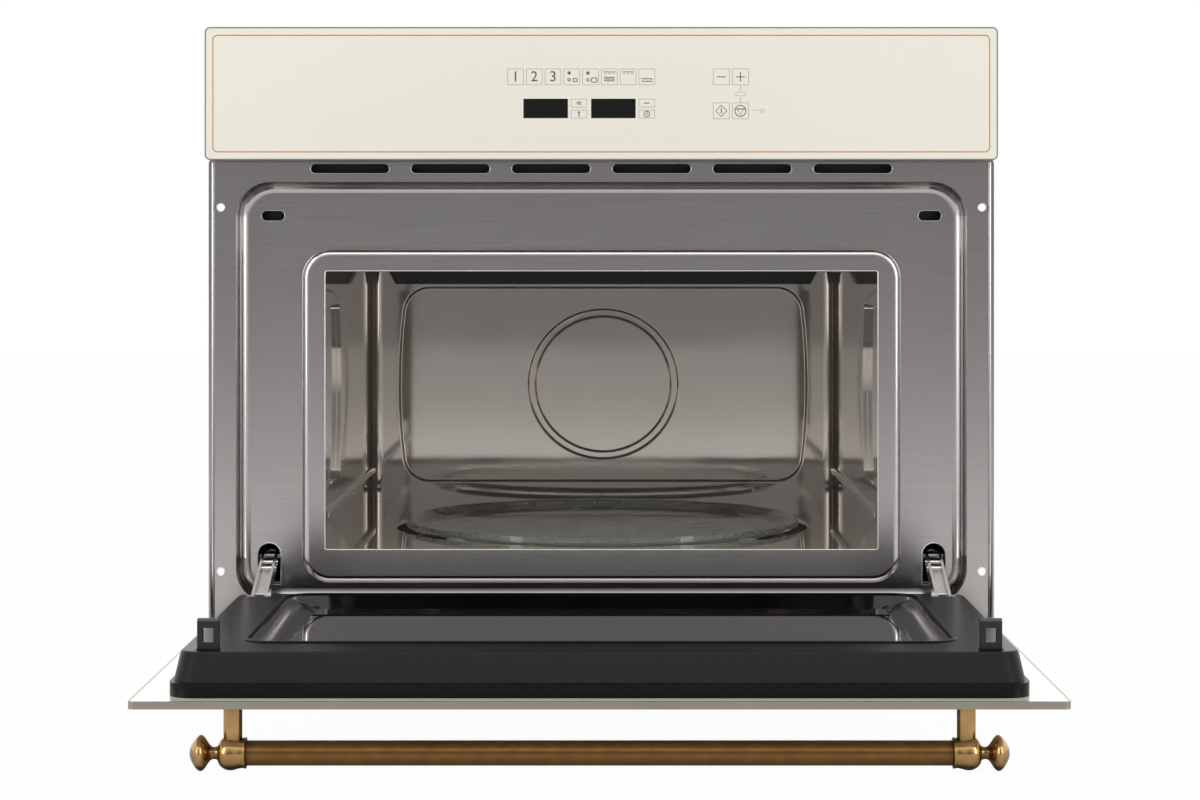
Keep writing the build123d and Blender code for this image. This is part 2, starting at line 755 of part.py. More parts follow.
# Door interlocks: a switch block behind each latch slot
with BuildPart() as interlocks:
    for side in (-1, 1):
        block(side * latch_x - 13, side * latch_x + 13, recess_depth + sheet, recess_depth + 40,
              latch_z - 18, latch_z + 24)
        block(side * latch_x - 10, side * latch_x + 10, recess_depth, recess_depth + 16,
              latch_z - 7, latch_z + 9, mode=Mode.SUBTRACT)
        for plug in (-8, 8):
            block(side * latch_x - 5, side * latch_x + 5, recess_depth + 40, recess_depth + 47,
                  latch_z + plug, latch_z + plug + 3)
save(interlocks, "interlocks")

# Control panel: glass, thin metal edge, moulded carrier, board and two display blocks
panel_radius = 4.0
with BuildPart() as panel_glass:
    with BuildSketch(front_plane(-front_proud)) as panel_face:
        with Locations((0, middle(panel_bottom, front_top))):
            RectangleRounded(front_width - 2 * panel_edge, panel_height - 2 * panel_edge,
                             panel_radius - panel_edge)
    extrude(panel_face.sketch, amount=panel_glass_thickness)
save(panel_glass, "panel_glass")

with BuildPart() as panel_rim:
    with BuildSketch(front_plane(-front_proud)) as rim_face:
        with Locations((0, middle(panel_bottom, front_top))):
            RectangleRounded(front_width, panel_height, panel_radius)
            RectangleRounded(front_width - 2 * panel_edge, panel_height - 2 * panel_edge,
                             panel_radius - panel_edge, mode=Mode.SUBTRACT)
    extrude(rim_face.sketch, amount=panel_glass_thickness + 2)
save(panel_rim, "panel_rim")

with BuildPart() as panel_carrier:
    carrier_front = panel_glass_thickness - front_proud
    window_block(carrier_front, -sheet, front_width / 2 - panel_edge, panel_bottom + panel_edge,
                 front_top - panel_edge, panel_radius - panel_edge)
    window_block(carrier_front + 2, 0, front_width / 2 - 5, panel_bottom + 5, front_top - 5,
                 2, mode=Mode.SUBTRACT)
    for centre in display_centres:
        block(centre - display_length / 2, centre + display_length / 2, carrier_front - 1,
              carrier_front + 3, display_z - display_height / 2, display_z + display_height / 2,
              mode=Mode.SUBTRACT)
    for post_x in (-board_half_width + 6, board_half_width - 6):
        for post_z in (board_z - 24, board_z + 24):
            cylinder_y(post_x, carrier_front + 1, board_front, post_z, 3)
save(panel_carrier, "panel_carrier")

with BuildPart() as displays:
    for centre in display_centres:
        block(centre - display_length / 2, centre + display_length / 2, carrier_front, board_front,
              display_z - display_height / 2, display_z + display_height / 2)
save(displays, "displays")

with BuildPart() as control_board:
    block(-board_half_width, board_half_width, board_front, board_front + 1.6, board_z - 30, board_z + 30)
    block(-board_half_width + 12, -board_half_width + 42, board_front + 1.6, board_front + 6, board_z - 10,
          board_z + 10)
    for chip in range(3):
        block(chip * 26, chip * 26 + 16, board_front + 1.6, board_front + 4, board_z - 20, board_z - 8)
save(control_board, "control_board")


# Door glass with a thin metal edge all round
door_near = opened(door_top)
door_rear = opened(door_foot)
with BuildPart() as door_glass:
    block(-front_width / 2 + trim_width, front_width / 2 - trim_width, door_near + trim_width,
          door_rear - trim_width, door_face_z, glass_inner_z)
    with BuildSketch(Plane.XY.offset(door_face_z - 1)) as handle_holes:
        with Locations((0, opened(handle_z))):
            with GridLocations(handle_spacing, 1, 2, 1):
                Circle(handle_screw_radius + 0.5)
    extrude(handle_holes.sketch, amount=glass_thickness + 2, mode=Mode.SUBTRACT)
save(door_glass, "door_glass")

with BuildPart() as door_trim:
    block(-front_width / 2, front_width / 2, door_near, door_rear, door_face_z, glass_inner_z)
    fillet(door_trim.edges().filter_by(Axis.Z), panel_radius)
    block(-front_width / 2 + trim_width, front_width / 2 - trim_width, door_near + trim_width,
          door_rear - trim_width, door_face_z - 1, glass_inner_z + 1, mode=Mode.SUBTRACT)
save(door_trim, "door_trim")


def door_outline(plane_z, half_width, low, high, corner):
    """A rounded rectangle in the plane of the open door, by its heights when the door is shut."""
    with BuildSketch(Plane.XY.offset(plane_z)) as outline:
        with Locations((0, middle(opened(low), opened(high)))):
            RectangleRounded(2 * half_width, high - low, corner)
    return outline.sketch


# Door frame: the lower half of the black moulding, open in the middle
with BuildPart() as door_frame:
    extrude(door_outline(glass_inner_z, door_frame_half_width, door_frame_low, door_frame_high,
                         cover_corner + 2), amount=door_frame_height)
    extrude(door_outline(glass_inner_z - 1, door_frame_half_width - frame_wall,
                         door_frame_low + frame_wall, door_frame_high - frame_wall, cover_corner),
            amount=door_frame_height + 2, mode=Mode.SUBTRACT)
    for side in (-1, 1):
        block(side * knuckle_x - knuckle_width / 2 - notch_clearance,
              side * knuckle_x + knuckle_width / 2 + notch_clearance, opened(door_frame_low + 2 * frame_wall),
              opened(door_frame_low) + 1, glass_inner_z + frame_wall, cover_base_z + 1,
              mode=Mode.SUBTRACT)
save(door_frame, "door_frame")

# Door cover: the tapered upper moulding with a bead round the window hole
with BuildPart() as door_cover:
    loft([door_outline(cover_base_z, cover_half_width + cover_taper, cover_low - cover_taper_low,
                       cover_high + cover_taper_high, cover_corner + 1).faces()[0],
          door_outline(inner_plane_z, cover_half_width, cover_low, cover_high, cover_corner).faces()[0]])
    fillet(door_cover.faces().sort_by(Axis.Z)[-1].edges(), cover_roll)
    loft([door_outline(cover_base_z, cover_half_width + cover_taper - cover_wall,
                       cover_low - cover_taper_low + cover_wall, cover_high + cover_taper_high - cover_wall,
                       cover_corner).faces()[0],
          door_outline(inner_plane_z - cover_wall, cover_half_width - cover_wall, cover_low + cover_wall,
                       cover_high - cover_wall, cover_corner - 1).faces()[0]], mode=Mode.SUBTRACT)
    extrude(door_outline(inner_plane_z, window_outer_half + bead_width, window_low - bead_width,
                         window_high + bead_width, window_corner + bead_width), amount=bead_height)
    fillet(door_cover.faces().sort_by(Axis.Z)[-1].edges(), bead_height * 0.6)
    extrude(door_outline(inner_plane_z - 2 * cover_wall, window_outer_half, window_low, window_high,
                         window_corner), amount=4 * cover_wall, mode=Mode.SUBTRACT)
    for side in (-1, 1):
        latch_half = latch_width / 2 + notch_clearance
        stay_half = slot_width / 2 + notch_clearance
        block(side * latch_x - latch_half, side * latch_x + latch_half,
              opened(latch_z + latch_thickness / 2 + latch_travel + notch_clearance),
              opened(latch_z - latch_thickness / 2 - notch_clearance), inner_plane_z - 2 * cover_wall,
              inner_plane_z + 2, mode=Mode.SUBTRACT)
        block(side * stay_x - stay_half, side * stay_x + stay_half, stay_door_y - notch_reach, opened(cover_low - cover_taper_low) + 1, cover_base_z - 1,
              inner_plane_z + 2, mode=Mode.SUBTRACT)
        block(side * knuckle_x - knuckle_width / 2 - notch_clearance,
              side * knuckle_x + knuckle_width / 2 + notch_clearance, opened(cover_low + 2 * cover_wall),
              opened(cover_low - cover_taper_low) + 1, cover_base_z - 1, pivot_z + knuckle_radius + 1,
              mode=Mode.SUBTRACT)
save(door_cover, "door_cover")

# Window: a sloped surround, dark inner pane, and the perforated choke plate behind
with BuildPart() as window_surround:
    extrude(door_outline(inner_plane_z - window_depth, window_outer_half, window_low, window_high,
                         window_corner), amount=window_depth - 0.5)
    loft([door_outline(inner_plane_z - window_drop, window_inner_half, window_low + window_slope,
                       window_high - window_slope, window_inner_corner).faces()[0],
          door_outline(inner_plane_z, window_outer_half - 1, window_low + 1, window_high - 1,
                       window_corner - 1).faces()[0]], mode=Mode.SUBTRACT)
    extrude(door_outline(inner_plane_z - window_depth - 1, window_inner_half + pane_lap,
                         window_low + window_slope - pane_lap, window_high - window_slope + pane_lap,
                         window_inner_corner), amount=window_depth - window_drop + 1, mode=Mode.SUBTRACT)
    extrude(door_outline(inner_plane_z - window_depth, window_inner_half, window_low + window_slope,
                         window_high - window_slope, window_inner_corner), amount=window_depth,
            mode=Mode.SUBTRACT)
save(window_surround, "window_surround")

with BuildPart() as door_window:
    extrude(door_outline(inner_plane_z - window_depth, window_inner_half + pane_lap,
                         window_low + window_slope - pane_lap, window_high - window_slope + pane_lap,
                         window_inner_corner), amount=window_depth - window_drop)
save(door_window, "door_window")

with BuildPart() as door_choke:
    choke_z = inner_plane_z - window_depth - choke_height
    extrude(door_outline(choke_z, window_outer_half + 3, window_low - 2, window_high + 3,
                         window_corner), amount=choke_height)
    extrude(door_outline(choke_z - 1, window_outer_half + 2, window_low - 1, window_high + 2,
                         window_corner - 1), amount=choke_height, mode=Mode.SUBTRACT)
    with BuildSketch(Plane.XY.offset(choke_z)) as screen:
        with Locations((0, opened(middle(window_low, window_high)))):
            with GridLocations(screen_pitch, screen_pitch, screen_columns, screen_rows):
                Rectangle(screen_hole, screen_hole)
    extrude(screen.sketch, amount=choke_height + 1, mode=Mode.SUBTRACT)
save(door_choke, "door_choke")

with BuildPart() as choke_posts:
    for side in (-1, 1):
        for level in (window_low + 30, window_high - 30):
            cylinder_z(side * (window_outer_half - 8), opened(level), glass_inner_z, choke_z, 4)
            block(side * (window_outer_half - 8) - 6, side * (window_outer_half - 8) + 6,
                  opened(level) - 6, opened(level) + 6, choke_z - 2, choke_z)
save(choke_posts, "choke_posts")


# Hinges: brackets in the door turn on pins held by ears on the frame
def capsule_side(x0, x1, y0, z0, y1, z1, radius, mode=Mode.ADD):
    """A flat bar with round ends, seen from the side, between two centres."""
    length = hypot(y1 - y0, z1 - z0)
    tilt = degrees(atan2(z1 - z0, y1 - y0))
    with BuildSketch(side_plane(x0)) as outline:
        with Locations(Location((middle(y0, y1), middle(z0, z1), 0), (0, 0, tilt))):
            SlotCenterToCenter(length, 2 * radius)
    extrude(outline.sketch, amount=x1 - x0, mode=mode)


with BuildPart() as door_hinges:
    for side in (-1, 1):
        hinge_x = side * knuckle_x
        arm_x = side * stay_x
        bracket_near = pivot_y - knuckle_arm
        bracket_far = opened(door_frame_low + frame_wall) - door_hinge_gap
        capsule_side(hinge_x - knuckle_width / 2, hinge_x + knuckle_width / 2, pivot_y, pivot_z,
                     bracket_near, pivot_z, knuckle_radius)
        block(hinge_x - knuckle_width / 2, hinge_x + knuckle_width / 2, bracket_near, bracket_far,
              glass_inner_z, pivot_z)
        inner = knuckle_x - knuckle_width / 2
        outer = stay_x + stay_width / 2 + stay_ear_clearance + stay_plate
        block(min(side * inner, side * outer), max(side * inner, side * outer), bracket_near, bracket_far,
              glass_inner_z, glass_inner_z + stay_plate)
        for flank in (-1, 1):
            ear_inner = arm_x + flank * (stay_width / 2 + stay_ear_clearance)
            ear_outer = ear_inner + flank * stay_plate
            capsule_side(min(ear_inner, ear_outer), max(ear_inner, ear_outer), stay_door_y, stay_door_z,
                         stay_door_y - 6, glass_inner_z + 7, stay_radius - 0.5)
            block(min(ear_inner, ear_outer), max(ear_inner, ear_outer), stay_door_y - 10, stay_door_y,
                  glass_inner_z, glass_inner_z + 8)
        cylinder_x(arm_x - stay_width / 2 - stay_ear_clearance - stay_plate,
                   arm_x + stay_width / 2 + stay_ear_clearance + stay_plate, stay_door_y, stay_door_z,
                   stay_pin_radius)
        cylinder_x(hinge_x - knuckle_width, hinge_x + knuckle_width, pivot_y, pivot_z,
                   pin_radius + pin_clearance, mode=Mode.SUBTRACT)
save(door_hinges, "door_hinges")

with BuildPart() as pivot_brackets:
    ear_reach = knuckle_width / 2 + ear_gap + ear_width
    for side in (-1, 1):
        hinge_x = side * knuckle_x
        block(hinge_x - ear_reach, hinge_x + ear_reach, pivot_y - 1, -sheet, bridge_low, bridge_low + 3)
        for flank in (-1, 1):
            ear_inner = hinge_x + flank * (knuckle_width / 2 + ear_gap)
            ear_outer = ear_inner + flank * ear_width
            ear_low_x = min(ear_inner, ear_outer)
            ear_high_x = max(ear_inner, ear_outer)
            cylinder_x(ear_low_x, ear_high_x, pivot_y, pivot_z, ear_radius)
            block(ear_low_x, ear_high_x, pivot_y, -sheet, pivot_z, mouth_bottom - sheet - ear_gap)
            block(ear_low_x, ear_high_x, pivot_y - 1, -sheet, bridge_low, pivot_z)
        cylinder_x(hinge_x - 2 * ear_reach, hinge_x + 2 * ear_reach, pivot_y, pivot_z, pin_radius,
                   mode=Mode.SUBTRACT)
save(pivot_brackets, "pivot_brackets")

# Stay arms: two riveted plates on a web, from the door up into the spring case
stay_tilt = atan2(stay_tail_z - stay_door_z, stay_tail_y - stay_door_y)
for side, name in ((-1, "left"), (1, "right")):
    arm_x = side * stay_x
    with BuildPart() as stay_arm:
        for flank in (-1, 1):
            plate_outer = arm_x + flank * stay_width / 2
            plate_inner = plate_outer - flank * stay_plate
            capsule_side(min(plate_outer, plate_inner), max(plate_outer, plate_inner), stay_door_y,
                         stay_door_z, stay_tail_y, stay_tail_z, stay_radius)
        web_start = stay_radius + 5
        capsule_side(arm_x - stay_width / 2, arm_x + stay_width / 2,
                     stay_door_y + web_start * cos(stay_tilt), stay_door_z + web_start * sin(stay_tilt),
                     stay_tail_y - web_end * cos(stay_tilt), stay_tail_z - web_end * sin(stay_tilt),
                     web_thickness)
        cylinder_x(arm_x - guide_pin_reach, arm_x + guide_pin_reach, stay_tail_y, stay_tail_z,
                   stay_pin_radius + 0.5)
        for rivet in rivet_places:
            cylinder_x(arm_x - stay_width / 2 - rivet_height, arm_x + stay_width / 2 + rivet_height,
                       stay_tail_y - rivet * cos(stay_tilt), stay_tail_z - rivet * sin(stay_tilt),
                       rivet_radius)
        cylinder_x(arm_x - stay_width, arm_x + stay_width, stay_door_y, stay_door_z,
                   stay_pin_radius + pin_clearance, mode=Mode.SUBTRACT)
    save(stay_arm, f"stay_arm_{name}")

case_front = recess_depth + sheet
case_rear = case_front + cassette_length
with BuildPart() as spring_cases:
    for side in (-1, 1):
        arm_x = side * stay_x
        case_half = slot_width / 2 + sheet
        block(arm_x - case_half, arm_x + case_half, case_front, case_rear, cassette_low, cassette_high)
        block(arm_x - slot_width / 2, arm_x + slot_width / 2, case_front - 1, case_rear - sheet,
              cassette_low + sheet, cassette_high - sheet, mode=Mode.SUBTRACT)
        for window in (0, 1):
            window_near = case_front + case_window_start + window * case_window_pitch
            block(arm_x - slot_width, arm_x + slot_width, window_near, window_near + case_window_length,
                  cassette_low + case_window_edge, cassette_high - case_window_edge, mode=Mode.SUBTRACT)
save(spring_cases, "spring_cases")

with BuildPart() as stay_springs:
    for side in (-1, 1):
        arm_x = side * stay_x
        cylinder_y(arm_x, stay_tail_y + stay_radius + spring_gap, case_rear - sheet - spring_gap, stay_tail_z,
                   spring_radius)
        cylinder_y(arm_x, stay_tail_y, case_rear, stay_tail_z, spring_radius - 1.5, mode=Mode.SUBTRACT)
save(stay_springs, "stay_springs")

with BuildPart() as hinge_pins:
    for side in (-1, 1):
        cylinder_x(side * knuckle_x - ear_reach, side * knuckle_x + ear_reach, pivot_y, pivot_z, pin_radius)
save(hinge_pins, "hinge_pins")

# Latch: one sliding bar that carries both hooks, in guides with a return spring
with BuildPart() as latch_bar:
    bar_near = opened(latch_z + latch_thickness / 2)
    bar_far = opened(latch_z - latch_thickness / 2)
    bar_base = cover_base_z + latch_base
    block(-latch_x - latch_width / 2, latch_x + latch_width / 2, bar_near, bar_near + latch_bar_width,
          bar_base, bar_base + latch_bar_height)
    for side in (-1, 1):
        block(side * latch_x - latch_width / 2, side * latch_x + latch_width / 2, bar_near, bar_far,
              bar_base, inner_plane_z + latch_reach)
        block(side * latch_x - latch_width / 4, side * latch_x + latch_width / 4, bar_near - 1, bar_far + 1,
              inner_plane_z + 5, inner_plane_z + latch_reach - 6, mode=Mode.SUBTRACT)
        chamfer(latch_bar.edges().filter_by(Axis.X).group_by(Axis.Z)[-1].sort_by(Axis.Y)[0:1], 1.5)
save(latch_bar, "latch_bar")

with BuildPart() as latch_guides:
    for side in (-1, 1):
        guide_x = side * guide_spacing / 2
        block(guide_x - 8, guide_x + 8, bar_near - latch_travel - 4, bar_near + latch_bar_width + 4,
              glass_inner_z, bar_base - 0.3)
        block(guide_x - 8, guide_x + 8, bar_near + latch_bar_width + 0.4, bar_near + latch_bar_width + 4,
              glass_inner_z, bar_base + 5)
        block(guide_x - 8, guide_x + 8, bar_near - latch_travel - 4, bar_near - latch_travel - 0.4,
              glass_inner_z, bar_base + 5)
save(latch_guides, "latch_guides")

with BuildPart() as latch_spring:
    spring_seat = bar_near + latch_bar_width
    cylinder_y(0, spring_seat + 0.3, spring_seat + spring_length, bar_base + 3.2, spring_radius - 2)
save(latch_spring, "latch_spring")

with BuildPart() as spring_post:
    block(-8, 8, spring_seat + spring_length + 0.3, spring_seat + spring_length + 3, glass_inner_z, bar_base + 6)
save(spring_post, "spring_post")

# Handle: a round bar between cast bosses with finials, on two posts
bar_y = opened(handle_z)
bar_z = door_face_z - handle_standoff
post_x = handle_spacing / 2
boss_inner = post_x - boss_length / 2 + boss_offset
with BuildPart() as handle_bar:
    cylinder_x(-boss_inner, boss_inner, bar_y, bar_z, handle_bar_radius)
save(handle_bar, "handle_bar")

with BuildPart() as handle_posts:
    with BuildSketch(Plane.XY.offset(bar_z)) as post_round:
        with Locations((0, bar_y)):
            with GridLocations(handle_spacing, 1, 2, 1):
                Circle(handle_post_radius)
    extrude(post_round.sketch, amount=door_face_z - bar_z)
    with BuildSketch(Plane.XY.offset(door_face_z - screw_depth)) as post_bore:
        with Locations((0, bar_y)):
            with GridLocations(handle_spacing, 1, 2, 1):
                Circle(handle_screw_radius)
    extrude(post_bore.sketch, amount=screw_depth, mode=Mode.SUBTRACT)
save(handle_posts, "handle_posts")


def handle_turning(side, points):
    """A part turned about the handle's own axis, from distance and radius pairs."""
    with BuildSketch(Plane(origin=(0, bar_y, bar_z), x_dir=(side, 0, 0), z_dir=(0, -side, 0))) as profile:
        with BuildLine():
            Polyline(*[(points[0][0], 0), points[0]])
            Spline(*points)
            Polyline(points[-1], (points[-1][0], 0), (points[0][0], 0))
        make_face()
    return revolve(profile.sketch, axis=Axis((0, bar_y, bar_z), (1, 0, 0)), mode=Mode.ADD)


with BuildPart() as handle_bosses:
    for side in (-1, 1):
        handle_turning(side, [(boss_inner, boss_radius - 1), (boss_inner + 3, boss_radius - 1.4),
                              (post_x + 1, boss_radius), (post_x + boss_length / 2 - 1, boss_radius - 3),
                              (post_x + boss_length / 2 + boss_offset, neck_radius)])
    with BuildSketch(Plane.XY.offset(bar_z)) as boss_bore:
        with Locations((0, bar_y)):
            with GridLocations(handle_spacing, 1, 2, 1):
                Circle(handle_post_radius)
    extrude(boss_bore.sketch, amount=handle_standoff, mode=Mode.SUBTRACT)
save(handle_bosses, "handle_bosses")

with BuildPart() as handle_finials:
    finial_start = post_x + boss_length / 2 + boss_offset
    finial_end = finial_start + finial_length
    for side in (-1, 1):
        handle_turning(side, [(finial_start, neck_radius), (finial_start + 4, neck_radius - 0.4),
                              (finial_end - 9.5, finial_radius - 1.6), (finial_end - 7.5, finial_radius),
                              (finial_end - 3, finial_radius - 3), (finial_end, 1.5)])
save(handle_finials, "handle_finials")

with BuildPart() as handle_screws:
    for side in (-1, 1):
        cylinder_z(side * post_x, bar_y, door_face_z - screw_depth, glass_inner_z + 0.5, handle_screw_radius)
        cylinder_z(side * post_x, bar_y, glass_inner_z, glass_inner_z + 2.5, 2 * handle_screw_radius)
save(handle_screws, "handle_screws")
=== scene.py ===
# A built-in compact microwave oven, door open, dressed for its photograph.
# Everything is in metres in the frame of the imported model: X across, -Y to the
# front, Z up. Sections follow the object as it is put together.
import bpy
import bmesh
from math import atan2, cos, pi, radians, sin
from mathutils import Matrix, Vector


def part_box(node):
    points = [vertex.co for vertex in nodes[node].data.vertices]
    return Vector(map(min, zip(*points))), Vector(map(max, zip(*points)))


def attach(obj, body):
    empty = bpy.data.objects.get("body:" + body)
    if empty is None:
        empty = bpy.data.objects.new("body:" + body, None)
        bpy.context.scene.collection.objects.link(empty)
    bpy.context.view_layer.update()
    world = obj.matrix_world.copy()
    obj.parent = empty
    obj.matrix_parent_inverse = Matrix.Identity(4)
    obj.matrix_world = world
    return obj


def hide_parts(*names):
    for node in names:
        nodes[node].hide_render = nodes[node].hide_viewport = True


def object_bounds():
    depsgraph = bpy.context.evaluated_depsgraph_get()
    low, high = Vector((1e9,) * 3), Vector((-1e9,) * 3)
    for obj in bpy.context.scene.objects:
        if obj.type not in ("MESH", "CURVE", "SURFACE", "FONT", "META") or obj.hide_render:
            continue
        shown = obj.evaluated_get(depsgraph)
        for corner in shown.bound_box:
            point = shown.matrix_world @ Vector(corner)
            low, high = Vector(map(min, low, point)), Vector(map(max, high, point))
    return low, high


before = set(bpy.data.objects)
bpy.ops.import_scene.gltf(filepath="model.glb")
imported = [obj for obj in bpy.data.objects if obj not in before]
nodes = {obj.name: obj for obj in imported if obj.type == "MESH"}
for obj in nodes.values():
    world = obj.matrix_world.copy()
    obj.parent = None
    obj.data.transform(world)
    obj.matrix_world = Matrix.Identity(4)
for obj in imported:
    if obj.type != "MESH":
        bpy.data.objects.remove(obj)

cad_low, cad_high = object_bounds()
MM = 0.001


# Camera and light
# The photograph is level and square on, from two metres away, with the lens
# shifted down. Two soft boxes and a pale room give the sheet metal its streaks.
PHOTO_WIDTH, PHOTO_HEIGHT = 1200, 800
LENS_PIXELS = 2684.0
AXIS_PIXEL = (611.0, 245.0)
SENSOR = 36.0
FAR_CLIP = 30
eye = Vector((7.3 * MM, -2035 * MM, 291.5 * MM))

camera_data = bpy.data.cameras.new("photo_camera")
camera_data.sensor_width = SENSOR
camera_data.lens = LENS_PIXELS * SENSOR / PHOTO_WIDTH
camera_data.shift_x = (PHOTO_WIDTH / 2 - AXIS_PIXEL[0]) / PHOTO_WIDTH
camera_data.shift_y = (AXIS_PIXEL[1] - PHOTO_HEIGHT / 2) / PHOTO_WIDTH
camera_data.clip_end = FAR_CLIP
camera = bpy.data.objects.new("photo_camera", camera_data)
camera.location = eye
camera.rotation_euler = (pi / 2, 0, 0)
bpy.context.scene.collection.objects.link(camera)
bpy.context.scene.camera = camera
bpy.context.scene.view_settings.view_transform = "Standard"


def linear(code):
    """A colour written as sRGB hex, as the linear value that a shader takes."""
    channels = [int(code[i:i + 2], 16) / 255 for i in (1, 3, 5)]
    return [c / 12.92 if c <= 0.04045 else ((c + 0.055) / 1.055) ** 2.4 for c in channels] + [1.0]


def add_node(tree, kind, inputs=None, **settings):
    """One shader node with its settings, and its inputs as values or as links."""
    node = tree.nodes.new(kind)
    for key, value in settings.items():
        setattr(node, key, value)
    for socket, value in (inputs or {}).items():
        if isinstance(value, bpy.types.NodeSocket):
            tree.links.new(value, node.inputs[socket])
        else:
            node.inputs[socket].default_value = value
    return node


def soft_box(name, place, aim, size, power):
    """A rectangular lamp that faces the point it is aimed at: metres, and watts."""
    lamp = bpy.data.lights.new(name, "AREA")
    lamp.shape = "RECTANGLE"
    lamp.size, lamp.size_y = size
    lamp.energy = power
    holder = bpy.data.objects.new(name, lamp)
    holder.location = place
    holder.rotation_euler = (Vector(aim) - Vector(place)).to_track_quat("-Z", "Y").to_euler()
    bpy.context.scene.collection.objects.link(holder)


for side, x in (("left", -1.7), ("right", 1.7)):
    soft_box(side + "_box", (x, -1.3, 0.9), (0, 0, 0.2), (0.35, 1.7), 11)
soft_box("top_box", (0, -0.9, 2.0), (0, 0, 0.1), (2.2, 0.9), 12)

# The room lights matt surfaces evenly, the camera sees plain paper, and metal
# mirrors a studio that is bright all round but dim behind the photographer.
ROOM_FILL, STUDIO_GLARE = 0.66, 1.4
world = bpy.data.worlds.new("pale_room")
bpy.context.scene.world = world
world.use_nodes = True
sky = world.node_tree
sky.nodes.clear()
path = add_node(sky, "ShaderNodeLightPath")
heading = add_node(sky, "ShaderNodeTexCoord").outputs["Generated"]
forward = add_node(sky, "ShaderNodeSeparateXYZ", {"Vector": heading}).outputs["Y"]
sideways = add_node(sky, "ShaderNodeMapRange", {"Value": forward, "From Min": -0.97, "From Max": -0.7})
behind, around = linear("#818181"), linear("#FFFFFF")
mirrored = add_node(sky, "ShaderNodeMix", {"Factor": sideways.outputs[0], "A": behind, "B": around},
                    data_type="RGBA")
seen = add_node(sky, "ShaderNodeMath", {0: path.outputs["Is Camera Ray"],
                                        1: path.outputs["Is Transmission Ray"]}, operation="MAXIMUM")
room = add_node(sky, "ShaderNodeBackground", {"Color": linear("#F2F2F2"), "Strength": ROOM_FILL})
paper = add_node(sky, "ShaderNodeBackground", {"Color": linear("#FFFFFF"), "Strength": 1.0})
studio = add_node(sky, "ShaderNodeBackground", {"Color": mirrored.outputs["Result"],
                                                "Strength": STUDIO_GLARE})
glossy = add_node(sky, "ShaderNodeMixShader", {0: path.outputs["Is Glossy Ray"], 1: room.outputs[0],
                                               2: studio.outputs[0]})
whole = add_node(sky, "ShaderNodeMixShader", {0: seen.outputs[0], 1: glossy.outputs[0], 2: paper.outputs[0]})
add_node(sky, "ShaderNodeOutputWorld", {"Surface": whole.outputs[0]})

# Floor
# A sheet of white paper just under the oven. It shows almost pure white to the
# camera and keeps a trace of the shadow of the door and handle.
FLOOR_REACH, FLOOR_GAP, GLOW_SHARE = 6, 0.5, 0.97
floor_mesh = bpy.data.meshes.new("paper_floor")
floor = bpy.data.objects.new("paper_floor", floor_mesh)
bpy.context.scene.collection.objects.link(floor)
shape = bmesh.new()
bmesh.ops.create_grid(shape, x_segments=1, y_segments=1, size=FLOOR_REACH)
bmesh.ops.translate(shape, verts=shape.verts, vec=(0, 0, cad_low.z - FLOOR_GAP * MM))
shape.to_mesh(floor_mesh)
shape.free()
paper_white = bpy.data.materials.new("white_paper")
paper_white.use_nodes = True
tree = paper_white.node_tree
tree.nodes.clear()
path = add_node(tree, "ShaderNodeLightPath")
matt = add_node(tree, "ShaderNodeBsdfDiffuse", {"Color": linear("#F4F4F4")})
glow = add_node(tree, "ShaderNodeEmission", {"Color": linear("#FFFFFF"), "Strength": 1.0})
share = add_node(tree, "ShaderNodeMath", {0: path.outputs["Is Camera Ray"], 1: GLOW_SHARE},
                 operation="MULTIPLY")
mixed = add_node(tree, "ShaderNodeMixShader", {0: share.outputs[0], 1: matt.outputs[0], 2: glow.outputs[0]})
add_node(tree, "ShaderNodeOutputMaterial", {"Surface": mixed.outputs[0]})
floor_mesh.materials.append(paper_white)

# Front frame
# One deep-drawn pressing of satin stainless steel: flange, door recess and the
# raised plateau round the mouth. Fine rolling grain gives it soft grey streaks.
def finish(name, tones, grain, relief, gloss, stretch=(1, 1, 1), cloud=70, **shader):
    """A finish with two close tones in clouds, and a grain (mm) that has a relief
    (mm) and moves the roughness between the two gloss values."""
    material = bpy.data.materials.new(name)
    material.use_nodes = True
    tree = material.node_tree
    tree.nodes.clear()
    place = add_node(tree, "ShaderNodeTexCoord").outputs["Object"]
    spread = add_node(tree, "ShaderNodeMapping", {"Vector": place, "Scale": stretch})
    fine = add_node(tree, "ShaderNodeTexNoise", {"Vector": spread.outputs[0], "Scale": 1 / (grain * MM),
                                                 "Detail": 2.0})
    broad = add_node(tree, "ShaderNodeTexNoise", {"Vector": place, "Scale": 1 / (cloud * MM), "Detail": 2.0})
    tone = add_node(tree, "ShaderNodeMix", {"Factor": broad.outputs["Fac"], "A": linear(tones[0]),
                                            "B": linear(tones[1])}, data_type="RGBA")
    polish = add_node(tree, "ShaderNodeMapRange", {"Value": fine.outputs["Fac"], "From Min": 0.3,
                                                   "From Max": 0.7, "To Min": gloss[0], "To Max": gloss[1]})
    bump = add_node(tree, "ShaderNodeBump", {"Height": fine.outputs["Fac"], "Strength": 1.0,
                                             "Distance": relief * MM})
    sockets = {"Base Color": tone.outputs["Result"], "Roughness": polish.outputs[0],
               "Normal": bump.outputs[0]}
    sockets.update({key.replace("_", " "): value for key, value in shader.items()})
    skin = add_node(tree, "ShaderNodeBsdfPrincipled", sockets)
    add_node(tree, "ShaderNodeOutputMaterial", {"Surface": skin.outputs[0]})
    return material


def dress(material, *names):
    """Gives solids of the frame their finish."""
    for name in names:
        nodes[name].data.materials.clear()
        nodes[name].data.materials.append(material)


